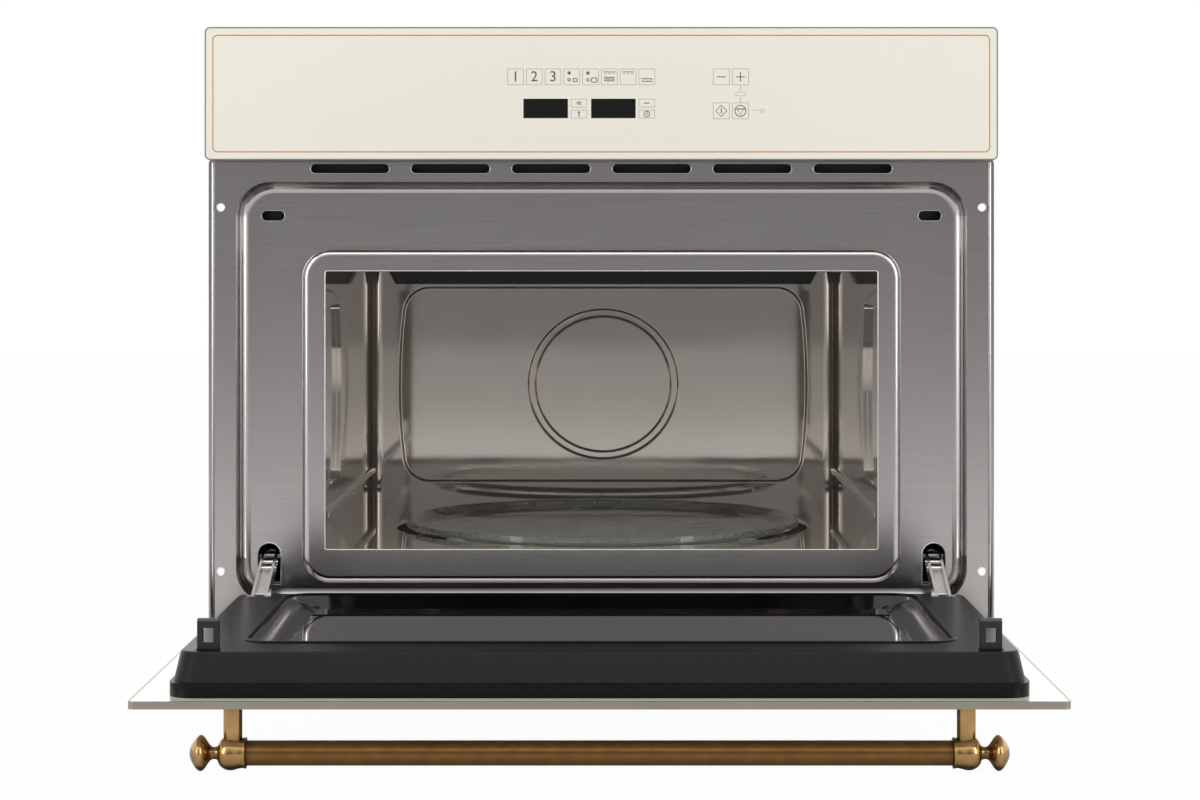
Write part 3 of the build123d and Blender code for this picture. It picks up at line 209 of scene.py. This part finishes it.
# Temper-rolled sheet: its grain runs across, far longer than it is wide, and
# smears what the steel mirrors. Real grain is a tenth of this, too fine to show.
satin_stainless = finish("satin_stainless_sheet", ("#B4B0AF", "#BCB8B7"), 1.1, 0.0002, (0.17, 0.21),
                         stretch=(0.02, 1, 1), cloud=160, Metallic=1.0)
dress(satin_stainless, "front_frame")


def add_piece(name, mesh, material, body):
    """Puts a finished mesh into the scene, on its body."""
    mesh.materials.clear()
    mesh.materials.append(material)
    piece = bpy.data.objects.new(name, mesh)
    bpy.context.scene.collection.objects.link(piece)
    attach(piece, body)
    return piece


def arc(x, z, radius, start, end, steps=8):
    """Points on an arc in an upright plane, angles in degrees."""
    angles = [radians(start + (end - start) * i / steps) for i in range(steps + 1)]
    return [(x + radius * cos(a), z + radius * sin(a)) for a in angles]


def round_box(x, z, width, height, radius):
    """The outline of an upright rectangle with round corners."""
    right, up = width / 2 - radius, height / 2 - radius
    return (arc(x + right, z + up, radius, 0, 90) + arc(x - right, z + up, radius, 90, 180)
            + arc(x - right, z - up, radius, 180, 270) + arc(x + right, z - up, radius, 270, 360))


def line_work(lines, plane, depth):
    """A mesh of round lines (width, closed, points) in mm in the upright plane y.
    The depth is a share of the width: 1 is a round wire, less is a flat print."""
    art = bpy.data.curves.new("lines", "CURVE")
    art.dimensions = "3D"
    art.bevel_depth = MM / 2
    art.bevel_resolution = 1
    for width, closed, points in lines:
        line = art.splines.new("POLY")
        line.points.add(len(points) - 1)
        for knot, (x, z) in zip(line.points, points):
            knot.co = (x * MM, 0, z * MM, 1)
            knot.radius = width
        line.use_cyclic_u = closed
    mesh = bpy.data.meshes.new_from_object(bpy.data.objects.new("lines", art))
    mesh.transform(Matrix.Translation((0, plane, 0)) @ Matrix.Diagonal((1, depth, 1, 1)))
    for face in mesh.polygons:
        face.use_smooth = True
    return mesh


# Punching leaves a rounded burr round each hole. Its steel is painted paler than the frame, a painted
# highlight that shows as a white outline. The burrs follow the frame's own holes, in mm across and up.
BURR, MOUTH_BURR = 0.7, 1.0
FLANGE_FRONT, RECESS_FACE, MOUTH_FACE = -1.0, 25.0, 13.2
VENTS, VENT_PITCH, VENT_LEVEL, VENT_LENGTH, VENT_WIDTH = 6, 76.2, 349.5, 60, 7.5
SCREW_X, SCREW_LEVELS, SCREW_HOLE = 288.5, (44, 320), 3.1
LATCH_X, LATCH_LEVEL, LATCH_LENGTH, LATCH_WIDTH = 252, 314, 18, 8
STAY_X, STAY_FOOT, STAY_CROWN, STAY_HALF = 255, 31, 54, 9
MOUTH_LEVEL, MOUTH_WIDTH, MOUTH_HEIGHT, MOUTH_CORNER = 165.35, 422, 212.7, 1.6
# The rounded edge is real, and its tone is a painted highlight: paler than the steel it is cut from.
burr_painted_highlight = finish("steel_edge_painted_highlight", ("#D9D7D4", "#EDEBE8"), 0.5, 0.002, (0.16, 0.22), Metallic=1.0)
vent_rims = [(BURR, True, round_box(VENT_PITCH * (i - (VENTS - 1) / 2), VENT_LEVEL, VENT_LENGTH,
                                    VENT_WIDTH, 3.74)) for i in range(VENTS)]
screw_rims = [(BURR, True, arc(x, z, SCREW_HOLE, 0, 345, 23)) for x in (-SCREW_X, SCREW_X)
              for z in SCREW_LEVELS]
mouth_rim = [(MOUTH_BURR, True, round_box(0, MOUTH_LEVEL, MOUTH_WIDTH, MOUTH_HEIGHT, MOUTH_CORNER))]
slot_rims = [(BURR, True, round_box(x, LATCH_LEVEL, LATCH_LENGTH, LATCH_WIDTH, 3.9))
             for x in (-LATCH_X, LATCH_X)]
slot_rims += [(BURR, True, [(x - STAY_HALF, STAY_FOOT)] + arc(x, STAY_CROWN, STAY_HALF, 180, 0, 12)
               + [(x + STAY_HALF, STAY_FOOT)]) for x in (-STAY_X, STAY_X)]
for name, rims, plane in (("vent_rims", vent_rims, FLANGE_FRONT),
                          ("screw_hole_rims", screw_rims, FLANGE_FRONT),
                          ("mouth_rim", mouth_rim, MOUTH_FACE),
                          ("slot_rims", slot_rims, RECESS_FACE)):
    add_piece(name, line_work(rims, plane * MM, 1), burr_painted_highlight, "housing")

# Painted shade behind the vents
# A thin black strip behind the vents is painted shade. It stands in for the dark inside and
# keeps the inside out of sight. It stands just behind the flange, with a lip along its top.
SHADE_SHEET_PLANE, SHADE_SHEET_LEVEL, LIP_REACH = 9.0, 351, 7
SHADE_SHEET_HEIGHT, SHADE_SHEET_WIDTH, SHADE_SHEET_THICKNESS = 20.0, 452.0, 0.8
# Painted shade: matt black enough to swallow the light that falls in through the vents.
vent_painted_shade = finish("matt_black_painted_shade", ("#060606", "#0A0A0A"), 0.8, 0.004, (0.55, 0.7))
shape = bmesh.new()
bmesh.ops.create_cube(shape, size=1)
bmesh.ops.scale(shape, verts=shape.verts, vec=(SHADE_SHEET_WIDTH * MM, SHADE_SHEET_THICKNESS * MM, SHADE_SHEET_HEIGHT * MM))
bmesh.ops.translate(shape, verts=shape.verts, vec=(0, SHADE_SHEET_PLANE * MM, SHADE_SHEET_LEVEL * MM))
top_front = [edge for edge in shape.edges
             if all(v.co.z > SHADE_SHEET_LEVEL * MM and v.co.y < SHADE_SHEET_PLANE * MM for v in edge.verts)]
lip = bmesh.ops.extrude_edge_only(shape, edges=top_front)
lip_verts = [v for v in lip["geom"] if isinstance(v, bmesh.types.BMVert)]
bmesh.ops.translate(shape, verts=lip_verts, vec=(0, -LIP_REACH * MM, 0))
mesh = bpy.data.meshes.new("vent_shade_sheet")
shape.to_mesh(mesh)
shape.free()
# The strip of painted shade goes in with the housing.
add_piece("vent_shade_sheet", mesh, vent_painted_shade, "housing")

# Cavity
# The oven box is bright annealed stainless sheet, close to a mirror. Forming left
# it slightly wavy, which bends what it reflects.
mirror_stainless = finish("bright_annealed_stainless", ("#C3BBB4", "#CBC3BC"), 90, 0.1, (0.04, 0.07),
                          cloud=200, Metallic=0.72)


def roll_edges(shape, radius, wanted):
    """Gives the sharp edges that are wanted the round of a pressed corner."""
    chosen = [edge for edge in shape.edges if len(edge.link_faces) == 2
              and edge.calc_face_angle() > radians(40) and all(wanted(v.co / MM) for v in edge.verts)]
    bmesh.ops.bevel(shape, geom=chosen, offset=radius * MM, offset_type="OFFSET", affect="EDGES", segments=4,
                    profile=0.5, material=-1, clamp_overlap=True)


def near(value, *targets):
    """True where a length in mm is one of the targets."""
    return any(abs(value - target) < 0.02 for target in targets)


# The same box as the frame's, with the rolled edges that the press leaves: the
# barrel on the back wall, the ring inside it, the side pressings and the dish.
BACK_WALL, BARREL_FLOOR, RING_FLOOR = 449, 456, 459
BARREL_LOW, BARREL_HIGH = 62, 262
SIDE_WALL, SIDE_FLOOR = 213, 217
SIDE_NEAR, SIDE_FAR, SIDE_LOW, SIDE_HIGH = 20, 170, 95, 250
OVEN_FLOOR, DISH_FLOOR, DISH_CENTRE, DISH_RADIUS = 56, 38, 230, 172
RING_CENTRE, RING_REACH = 162.5, 75
BARREL_ROLL, RING_ROLL, SIDE_ROLL, DISH_ROLL = 3.0, 1.45, 1.7, 3.0


def off_ring(v):
    """How far a point of the back wall lies from the ring's centre, in mm."""
    return Vector((v.x, v.z - RING_CENTRE)).length


shape = bmesh.new()
shape.from_mesh(nodes["cavity_shell"].data)
bmesh.ops.remove_doubles(shape, verts=shape.verts, dist=0.002 * MM)
bmesh.ops.dissolve_limit(shape, angle_limit=radians(0.6), verts=shape.verts, edges=shape.edges)
roll_edges(shape, BARREL_ROLL, lambda v: near(v.y, BACK_WALL, BARREL_FLOOR)
           and BARREL_LOW < v.z < BARREL_HIGH and off_ring(v) > RING_REACH)
roll_edges(shape, RING_ROLL, lambda v: near(v.y, BARREL_FLOOR, RING_FLOOR) and off_ring(v) < RING_REACH)
roll_edges(shape, SIDE_ROLL, lambda v: near(abs(v.x), SIDE_WALL, SIDE_FLOOR)
           and SIDE_NEAR < v.y < SIDE_FAR and SIDE_LOW < v.z < SIDE_HIGH)
roll_edges(shape, DISH_ROLL, lambda v: near(v.z, OVEN_FLOOR, DISH_FLOOR)
           and near(Vector((v.x, v.y - DISH_CENTRE)).length, DISH_RADIUS))
cavity_mesh = bpy.data.meshes.new("pressed_cavity")
shape.to_mesh(cavity_mesh)
shape.free()
cavity_mesh.polygons.foreach_set("use_smooth", [True] * len(cavity_mesh.polygons))
cavity_mesh.set_sharp_from_angle(angle=radians(35))
cavity = add_piece("pressed_cavity", cavity_mesh, mirror_stainless, "housing")
cavity.modifiers.new("flat walls stay flat", "WEIGHTED_NORMAL").keep_sharp = True
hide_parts("cavity_shell")
# Enamel fired on sheet steel is glassy, and black even in the light.
black_enamel = finish("black_fired_enamel", ("#121110", "#1C1A18"), 0.8, 0.004, (0.2, 0.3))
dress(black_enamel, "air_baffle", "door_choke")
# Pressed flakes of mica give a pale, flecked sheet with a weak sheen.
mica = finish("pressed_mica_board", ("#B9B19F", "#A79E8B"), 3, 0.02, (0.35, 0.5), cloud=12)
dress(mica, "waveguide_cover")

# Turntable
# A pressed clear glass tray with a ribbed rim, on a white nylon ring with three
# rollers, and the coupler that turns it. Pressing leaves the glass faintly rippled.
clear_glass = bpy.data.materials.new("pressed_clear_glass")
clear_glass.use_nodes = True
tree = clear_glass.node_tree
tree.nodes.clear()
place = add_node(tree, "ShaderNodeTexCoord").outputs["Object"]
ripple = add_node(tree, "ShaderNodeTexNoise", {"Vector": place, "Scale": 60.0, "Detail": 1.0})
bump = add_node(tree, "ShaderNodeBump", {"Height": ripple.outputs["Fac"], "Strength": 1.0,
                                         "Distance": 0.15 * MM})
skin = add_node(tree, "ShaderNodeBsdfPrincipled", {"Base Color": linear("#EEF2E8"), "Roughness": 0.05,
                                                   "IOR": 1.35, "Transmission Weight": 0.88,
                                                   "Normal": bump.outputs[0]})
add_node(tree, "ShaderNodeOutputMaterial", {"Surface": skin.outputs[0]})
dress(clear_glass, "turntable_tray")
# Small ribs pressed into the sloping rim catch the light as a string of glints.
RIB_COUNT, RIB_INNER, RIB_OUTER, RIB_RADIUS = 108, 151.0, 163.0, 0.8
tray_low, tray_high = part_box("turntable_tray")
RIM_SLOPE = 4.2
shape = bmesh.new()
bmesh.ops.create_cone(shape, cap_ends=True, segments=8, radius1=RIB_RADIUS * MM, radius2=RIB_RADIUS * MM,
                      depth=(RIB_OUTER - RIB_INNER) * MM)
bmesh.ops.rotate(shape, verts=shape.verts, cent=(0, 0, 0),
                 matrix=Matrix.Rotation(pi / 2 - atan2(RIM_SLOPE, RIB_OUTER - RIB_INNER), 3, "Y"))
tray_centre = ((tray_low.x + tray_high.x) / 2, (tray_low.y + tray_high.y) / 2, 0)
bmesh.ops.translate(shape, verts=shape.verts, vec=((RIB_INNER + RIB_OUTER) / 2 * MM, tray_centre[1],
                                                   tray_high.z - RIM_SLOPE / 2 * MM - 0.6 * MM))
bmesh.ops.spin(shape, geom=shape.verts[:] + shape.edges[:] + shape.faces[:], cent=tray_centre, axis=(0, 0, 1),
               angle=2 * pi * (RIB_COUNT - 1) / RIB_COUNT, steps=RIB_COUNT - 1, use_duplicate=True)
mesh = bpy.data.meshes.new("tray_rim_ribs")
shape.to_mesh(mesh)
shape.free()
for face in mesh.polygons:
    face.use_smooth = len(face.vertices) == 4
add_piece("tray_rim_ribs", mesh, clear_glass, "turntable")
# Unpainted nylon is milky: a little light goes in and comes out softened.
nylon = finish("moulded_white_nylon", ("#D9D7D0", "#E6E4DE"), 0.6, 0.01, (0.42, 0.52),
               Subsurface_Weight=0.1, Subsurface_Scale=0.002)
dress(nylon, "turntable_coupler", "roller_ring", "roller_1", "roller_2", "roller_3")

# Control panel
# A plate of cream back-printed glass in a slim metal rim. A gold line runs round
# its edge. The touch fields are flat print, so nothing on it moves.
# Paint behind glass: an even cream colour under a clear hard shine.
cream_glass = finish("cream_back_painted_glass", ("#E7E3D5", "#EBE8DC"), 40, 0.02, (0.1, 0.16), cloud=300,
                     Coat_Weight=0.5, Coat_Roughness=0.04)
dress(cream_glass, "panel_glass")
# Ground and clear anodised, so it is paler and softer than the steel below it.
pale_edge = finish("ground_aluminium_edge", ("#A7A39B", "#B8B4AC"), 0.6, 0.004, (0.26, 0.34), Metallic=1.0)
dress(pale_edge, "panel_rim")
# Injection moulded ABS from a fine spark-eroded tool: black with a low sheen.
moulded_black = finish("moulded_black_plastic", ("#0D0D0E", "#121213"), 0.5, 0.002, (0.3, 0.42))
dress(moulded_black, "panel_carrier", "interlocks", "cable_gland")

panel_low, panel_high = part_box("panel_glass")
print_plane = panel_low.y
FLAT = 0.08
panel_middle = (panel_low.z + panel_high.z) / 2 / MM
panel_width = (panel_high.x - panel_low.x) / MM
panel_height = (panel_high.z - panel_low.z) / MM
LINE_INSET, LINE_CORNER, LINE_WIDTH = 5.2, 3.5, 1.1
gold_outline = round_box(0, panel_middle, panel_width - 2 * LINE_INSET, panel_height - 2 * LINE_INSET,
                         LINE_CORNER)
# Metal powder in the ink makes the fired line glint a little.
gold_ink = finish("gold_ceramic_ink", ("#B8822A", "#CE983C"), 0.8, 0.003, (0.25, 0.35), Metallic=0.3)
add_piece("gold_line", line_work([(LINE_WIDTH, True, gold_outline)], print_plane, FLAT), gold_ink, "housing")

# The print is laid out in mm, across from the middle and up from the niche floor.
FIELD = 11.9
FIELD_PITCH = 14.07
UPPER_ROW, LOWER_ROW = 417.6, 392.1
first_field = -64.3
fields = [first_field + FIELD_PITCH * i for i in range(8)]
SMALL_FIELDS = [(-16.7, 397.9), (-16.7, 389.7), (34.2, 397.9), (34.2, 389.7)]
MINUS, PLUS = 90.1, 104.4
HAIR, STROKE = 0.4, 0.75
field_frames = [(HAIR, True, round_box(x, UPPER_ROW, FIELD, FIELD, 0.4)) for x in fields]
field_frames += [(HAIR, True, round_box(x, z, 11.8, 6, 0.3)) for x, z in SMALL_FIELDS]
field_frames += [(HAIR, True, round_box(x, z, 12.2, 12, 0.4)) for x in (MINUS, PLUS)
                 for z in (UPPER_ROW, LOWER_ROW)]
field_frames += [(HAIR, False, [(PLUS, high), (PLUS, low)]) for high, low in ((411.2, 407.4), (402.3, 398.4))]


def hatch(x, z, width, rows, gap=1.3):
    """Wavy lines one above another, the mark for microwaves."""
    waves = []
    for row in range(rows):
        level = z + gap * (row - (rows - 1) / 2)
        waves.append([(x + width * (i / 12 - 0.5), level + 0.22 * sin(i * pi / 3)) for i in range(13)])
    return waves


def teeth(x, z, size=2.9):
    """Three hanging triangles, the mark for the grill."""
    return [[(x + size * k - size / 2, z), (x + size * k + size / 2, z), (x + size * k, z - size * 0.62)]
            for k in (-1, 0, 1)]


def snow(x, z, radius=1.5):
    """Three crossed strokes, the mark for frozen food."""
    return [[(x + radius * cos(a), z + radius * sin(a)), (x - radius * cos(a), z - radius * sin(a))]
            for a in (pi / 2, pi / 6, -pi / 6)]


open_marks, closed_marks = [], []
for x, loaf in ((fields[3], 1.5), (fields[4], 2.0)):
    open_marks += snow(x - 2, UPPER_ROW + 2.9)
    closed_marks += [arc(x - 2, UPPER_ROW - 2.2, 1.0, 0, 345, 12)]
    closed_marks += [round_box(x + 2.6, UPPER_ROW - 2.4, 2 * loaf, 1.6 * loaf, 0.8)]
closed_marks += teeth(fields[5], UPPER_ROW + 4) + teeth(fields[6], UPPER_ROW + 4)
open_marks += hatch(fields[5], UPPER_ROW - 1.6, 8, 3) + hatch(fields[7], UPPER_ROW - 2.4, 8.5, 2, 1.9)
open_marks += hatch(-16.7, 397.9, 3.4, 2)
open_marks += [[(-16.7, 387.6), (-16.7, 391.7)], [(-17.5, 390.6), (-16.7, 391.7), (-15.9, 390.6)]]
closed_marks += [arc(34.2, 389.7, 2.1, 0, 345, 16)]
open_marks += [[(34.2, 391), (34.2, 389.7), (35.1, 389.7)], [(32, 397.9), (36.4, 397.9)]]
open_marks += [[(MINUS - 3.4, UPPER_ROW), (MINUS + 3.4, UPPER_ROW)],
               [(PLUS - 3.4, UPPER_ROW), (PLUS + 3.4, UPPER_ROW)],
               [(PLUS, UPPER_ROW - 3.6), (PLUS, UPPER_ROW + 3.6)],
               [(MINUS, LOWER_ROW - 2), (MINUS, LOWER_ROW + 2)]]
closed_marks += [[(MINUS + 4.2 * cos(a), LOWER_ROW + 4.2 * sin(a)) for a in (0, pi / 2, pi, 3 * pi / 2)],
                 arc(PLUS, LOWER_ROW, 4.1, 0, 345, 23),
                 [(PLUS - 2.2, LOWER_ROW + 1.2), (PLUS + 2.2, LOWER_ROW + 1.2), (PLUS, LOWER_ROW - 3)]]
open_marks += [[(PLUS - 3.8, LOWER_ROW + 1.5), (PLUS + 3.8, LOWER_ROW + 1.5)]]
bowl_mark = [(PLUS - 4, 403.6), (PLUS - 2.4, 406.2), (PLUS + 3.2, 406.2), (PLUS + 4, 405.2),
             (PLUS + 2.4, 403.4)]
key_stem = [(114, LOWER_ROW + 0.6), (119.6, LOWER_ROW + 0.6), (119.6, LOWER_ROW - 0.6)]
# Screen printed ink stands matt on the glass, so the marks don't flash.
field_ink = finish("grey_field_ink", ("#8F8C80", "#848175"), 2, 0.001, (0.5, 0.6))
mark_ink = finish("dark_grey_mark_ink", ("#3C3C38", "#454541"), 2, 0.001, (0.5, 0.6))
pale_marks = [(HAIR, True, bowl_mark), (HAIR, False, key_stem)]
pale_marks += [(HAIR, True, arc(121, LOWER_ROW, 1.3, 0, 330, 11))]
add_piece("touch_field_frames", line_work(field_frames + pale_marks, print_plane, FLAT), field_ink, "housing")
marks = [(STROKE, True, line) for line in closed_marks] + [(STROKE, False, line) for line in open_marks]
add_piece("touch_field_marks", line_work(marks, print_plane, FLAT), mark_ink, "housing")

NUMERAL_SIZE, INK_THICKNESS = 11, 0.03
for i in range(3):
    numeral = bpy.data.curves.new("numeral", "FONT")
    numeral.body = str(i + 1)
    numeral.size = NUMERAL_SIZE * MM
    numeral.align_x = "CENTER"
    numeral.align_y = "CENTER"
    numeral.extrude = INK_THICKNESS * MM
    mesh = bpy.data.meshes.new_from_object(bpy.data.objects.new("numeral", numeral))
    mesh.transform(Matrix.Translation((fields[i] * MM, print_plane, UPPER_ROW * MM))
                   @ Matrix.Rotation(pi / 2, 4, "X"))
    add_piece("numeral_%d" % (i + 1), mesh, mark_ink, "housing")

# Display windows
# The two displays shine through clear windows in the print. Switched off, they
# are plain black glass.
window_black = finish("unlit_display_window", ("#050506", "#0A0A0B"), 30, 0.002, (0.05, 0.08))
DISPLAY_WIDTH, DISPLAY_HEIGHT, DISPLAY_LEVEL = 33.4, 14.6, 393.9
DISPLAY_LEFT, DISPLAY_RIGHT = -41.7, 9.1
for side, x in (("left", DISPLAY_LEFT), ("right", DISPLAY_RIGHT)):
    shape = bmesh.new()
    bmesh.ops.create_grid(shape, x_segments=1, y_segments=1, size=0.5)
    bmesh.ops.scale(shape, verts=shape.verts, vec=(DISPLAY_WIDTH * MM, DISPLAY_HEIGHT * MM, 1))
    bmesh.ops.rotate(shape, verts=shape.verts, cent=(0, 0, 0), matrix=Matrix.Rotation(pi / 2, 3, "X"))
    bmesh.ops.translate(shape, verts=shape.verts, vec=(x * MM, print_plane, DISPLAY_LEVEL * MM))
    rim = bmesh.ops.extrude_face_region(shape, geom=shape.faces[:])
    outer = [v for v in rim["geom"] if isinstance(v, bmesh.types.BMVert)]
    bmesh.ops.translate(shape, verts=outer, vec=(0, -INK_THICKNESS * MM, 0))
    bmesh.ops.recalc_face_normals(shape, faces=shape.faces)
    mesh = bpy.data.meshes.new("display_window_" + side)
    shape.to_mesh(mesh)
    shape.free()
    add_piece("display_window_" + side, mesh, window_black, "housing")
dress(window_black, "displays")

# Door
# A cream glass front in a slim champagne trim, a moulded black frame and cover,
# and round the dark window a glossy sloped surround.
dress(cream_glass, "door_glass")
# Anodised in a warm grey after brushing along its length.
champagne = finish("champagne_anodised_aluminium", ("#948E81", "#A59F92"), 0.5, 0.004, (0.28, 0.36),
                   stretch=(0.05, 1, 1), Metallic=1.0)
dress(champagne, "door_trim")
# Satin moulding that hardly mirrors the room, so it stays black head-on.
cover_plastic = finish("satin_black_door_moulding", ("#0A0A0B", "#0E0E0F"), 0.45, 0.002, (0.26, 0.36),
                       Specular_IOR_Level=0.14)
dress(cover_plastic, "door_cover", "door_frame")
# Polished moulding, as shiny as piano lacquer but a little uneven.
gloss_black = finish("gloss_black_moulding", ("#050506", "#080808"), 50, 0.02, (0.08, 0.12),
                     Specular_IOR_Level=0.3)
dress(gloss_black, "window_surround")
# Tinted so dark that it only mirrors, sharp and slightly wavy.
dark_glass = finish("dark_tinted_glass", ("#0A0A0B", "#0D0D0E"), 80, 0.02, (0.02, 0.03), Coat_Weight=0.6,
                    Coat_Roughness=0.02)
dress(dark_glass, "door_window")
dress(moulded_black, "choke_posts", "latch_guides", "spring_post", "latch_bar")

# Hinges and stay arms
# Pressed and zinc plated steel: knuckles on pins at the foot of the frame, and
# the two arms with riveted guide pins that carry the open door.
# Zinc plating is bright, with a cloudy bloom that the bath leaves.
bright_steel = finish("zinc_plated_steel", ("#A9A8A6", "#C1C0BE"), 0.7, 0.004, (0.18, 0.28), cloud=15,
                      Metallic=1.0)
dress(bright_steel, "pivot_brackets", "hinge_pins", "door_hinges", "stay_arm_left", "stay_arm_right",
      "handle_screws", "cover_screws")
# Drawn wire, browned and oiled: darker and duller than the plated steel.
spring_steel = finish("oiled_spring_steel", ("#6A6662", "#7C7873"), 0.6, 0.004, (0.25, 0.34), Metallic=1.0)
dress(spring_steel, "stay_springs", "latch_spring")

# Handle
# Solid brass with a dark antique patina, rubbed back to bright brass where hands
# and cloths reach. The long bar is left satin, the cast ends are polished.
def antique_brass(name, bare, patina, gloss, depth):
    """Brass whose patina stays where the surface is hollow or shaded (depth, mm)."""
    material = bpy.data.materials.new(name)
    material.use_nodes = True
    tree = material.node_tree
    tree.nodes.clear()
    place = add_node(tree, "ShaderNodeTexCoord").outputs["Object"]
    broad = add_node(tree, "ShaderNodeTexNoise", {"Vector": place, "Scale": 1 / (9 * MM), "Detail": 4.0})
    fine = add_node(tree, "ShaderNodeTexNoise", {"Vector": place, "Scale": 1 / (0.6 * MM), "Detail": 2.0})
    open_air = add_node(tree, "ShaderNodeAmbientOcclusion", {"Distance": depth * MM}, samples=8)
    rubbed = add_node(tree, "ShaderNodeMapRange", {"Value": open_air.outputs["AO"], "From Min": 0.55,
                                                   "From Max": 0.98})
    stain = add_node(tree, "ShaderNodeMapRange", {"Value": broad.outputs["Fac"], "From Min": 0.3,
                                                  "From Max": 0.7, "To Min": 0.72, "To Max": 1.0})
    share = add_node(tree, "ShaderNodeMath", {0: rubbed.outputs[0], 1: stain.outputs[0]},
                     operation="MULTIPLY")
    tone = add_node(tree, "ShaderNodeMix", {"Factor": share.outputs[0], "A": linear(patina),
                                            "B": linear(bare)}, data_type="RGBA")
    polish = add_node(tree, "ShaderNodeMapRange", {"Value": share.outputs[0], "To Min": gloss[1],
                                                   "To Max": gloss[0]})
    bump = add_node(tree, "ShaderNodeBump", {"Height": fine.outputs["Fac"], "Strength": 1.0,
                                             "Distance": 0.004 * MM})
    skin = add_node(tree, "ShaderNodeBsdfPrincipled", {"Base Color": tone.outputs["Result"], "Metallic": 1.0,
                                                       "Roughness": polish.outputs[0],
                                                       "Normal": bump.outputs[0]})
    add_node(tree, "ShaderNodeOutputMaterial", {"Surface": skin.outputs[0]})
    return material


# Fine wire wool along the bar blurs the light, cloth wheels make the ends flash.
satin_brass = antique_brass("satin_antique_brass", "#86633A", "#3E2A17", (0.28, 0.38), 5)
dress(satin_brass, "handle_bar")
polished_brass = antique_brass("polished_antique_brass", "#BA9564", "#3A2613", (0.13, 0.3), 7)
dress(polished_brass, "handle_posts", "handle_bosses", "handle_finials")

# Housing and inner parts
# Galvanised sheet round the back, and the electrical parts that sit on the deck
# above the cavity.
# Hot-dip zinc freezes in large grey crystals, which show as soft patches.
galvanised = finish("spangled_galvanised_sheet", ("#8F9294", "#A9ACAE"), 1.2, 0.004, (0.3, 0.46), cloud=9,
                    Metallic=1.0)
dress(galvanised, "base_plate", "housing_wrap", "rear_panel", "deck_plate", "waveguide", "magnetron",
      "transformer", "capacitor", "fan_shroud", "fan_motor", "spring_cases", "grill_reflector",
      "turntable_motor")
dress(moulded_black, "cooling_fan")
# Frosted glass spreads the lamp's light, and is white when the lamp is off.
lamp_glass = finish("frosted_lamp_cover", ("#D8D6D0", "#E3E1DB"), 1.5, 0.01, (0.3, 0.4))
dress(lamp_glass, "oven_lamp")
# The heater's steel sheath has browned in use to a dry dark oxide.
heater_sheath = finish("oxidised_heater_sheath", ("#3D3A38", "#55504C"), 0.6, 0.01, (0.4, 0.55), Metallic=0.8)
dress(heater_sheath, "grill_heater")
# Enamelled winding wire: copper red under a thin clear lacquer.
copper = finish("lacquered_copper_wire", ("#8A4A22", "#A55C2E"), 0.8, 0.02, (0.25, 0.4), Metallic=1.0)
dress(copper, "transformer_windings")
# Solder mask: even green lacquer with a soft shine.
board = finish("green_solder_mask", ("#1F4D2C", "#2A5C37"), 1.5, 0.01, (0.3, 0.45))
dress(board, "filter_board", "control_board")
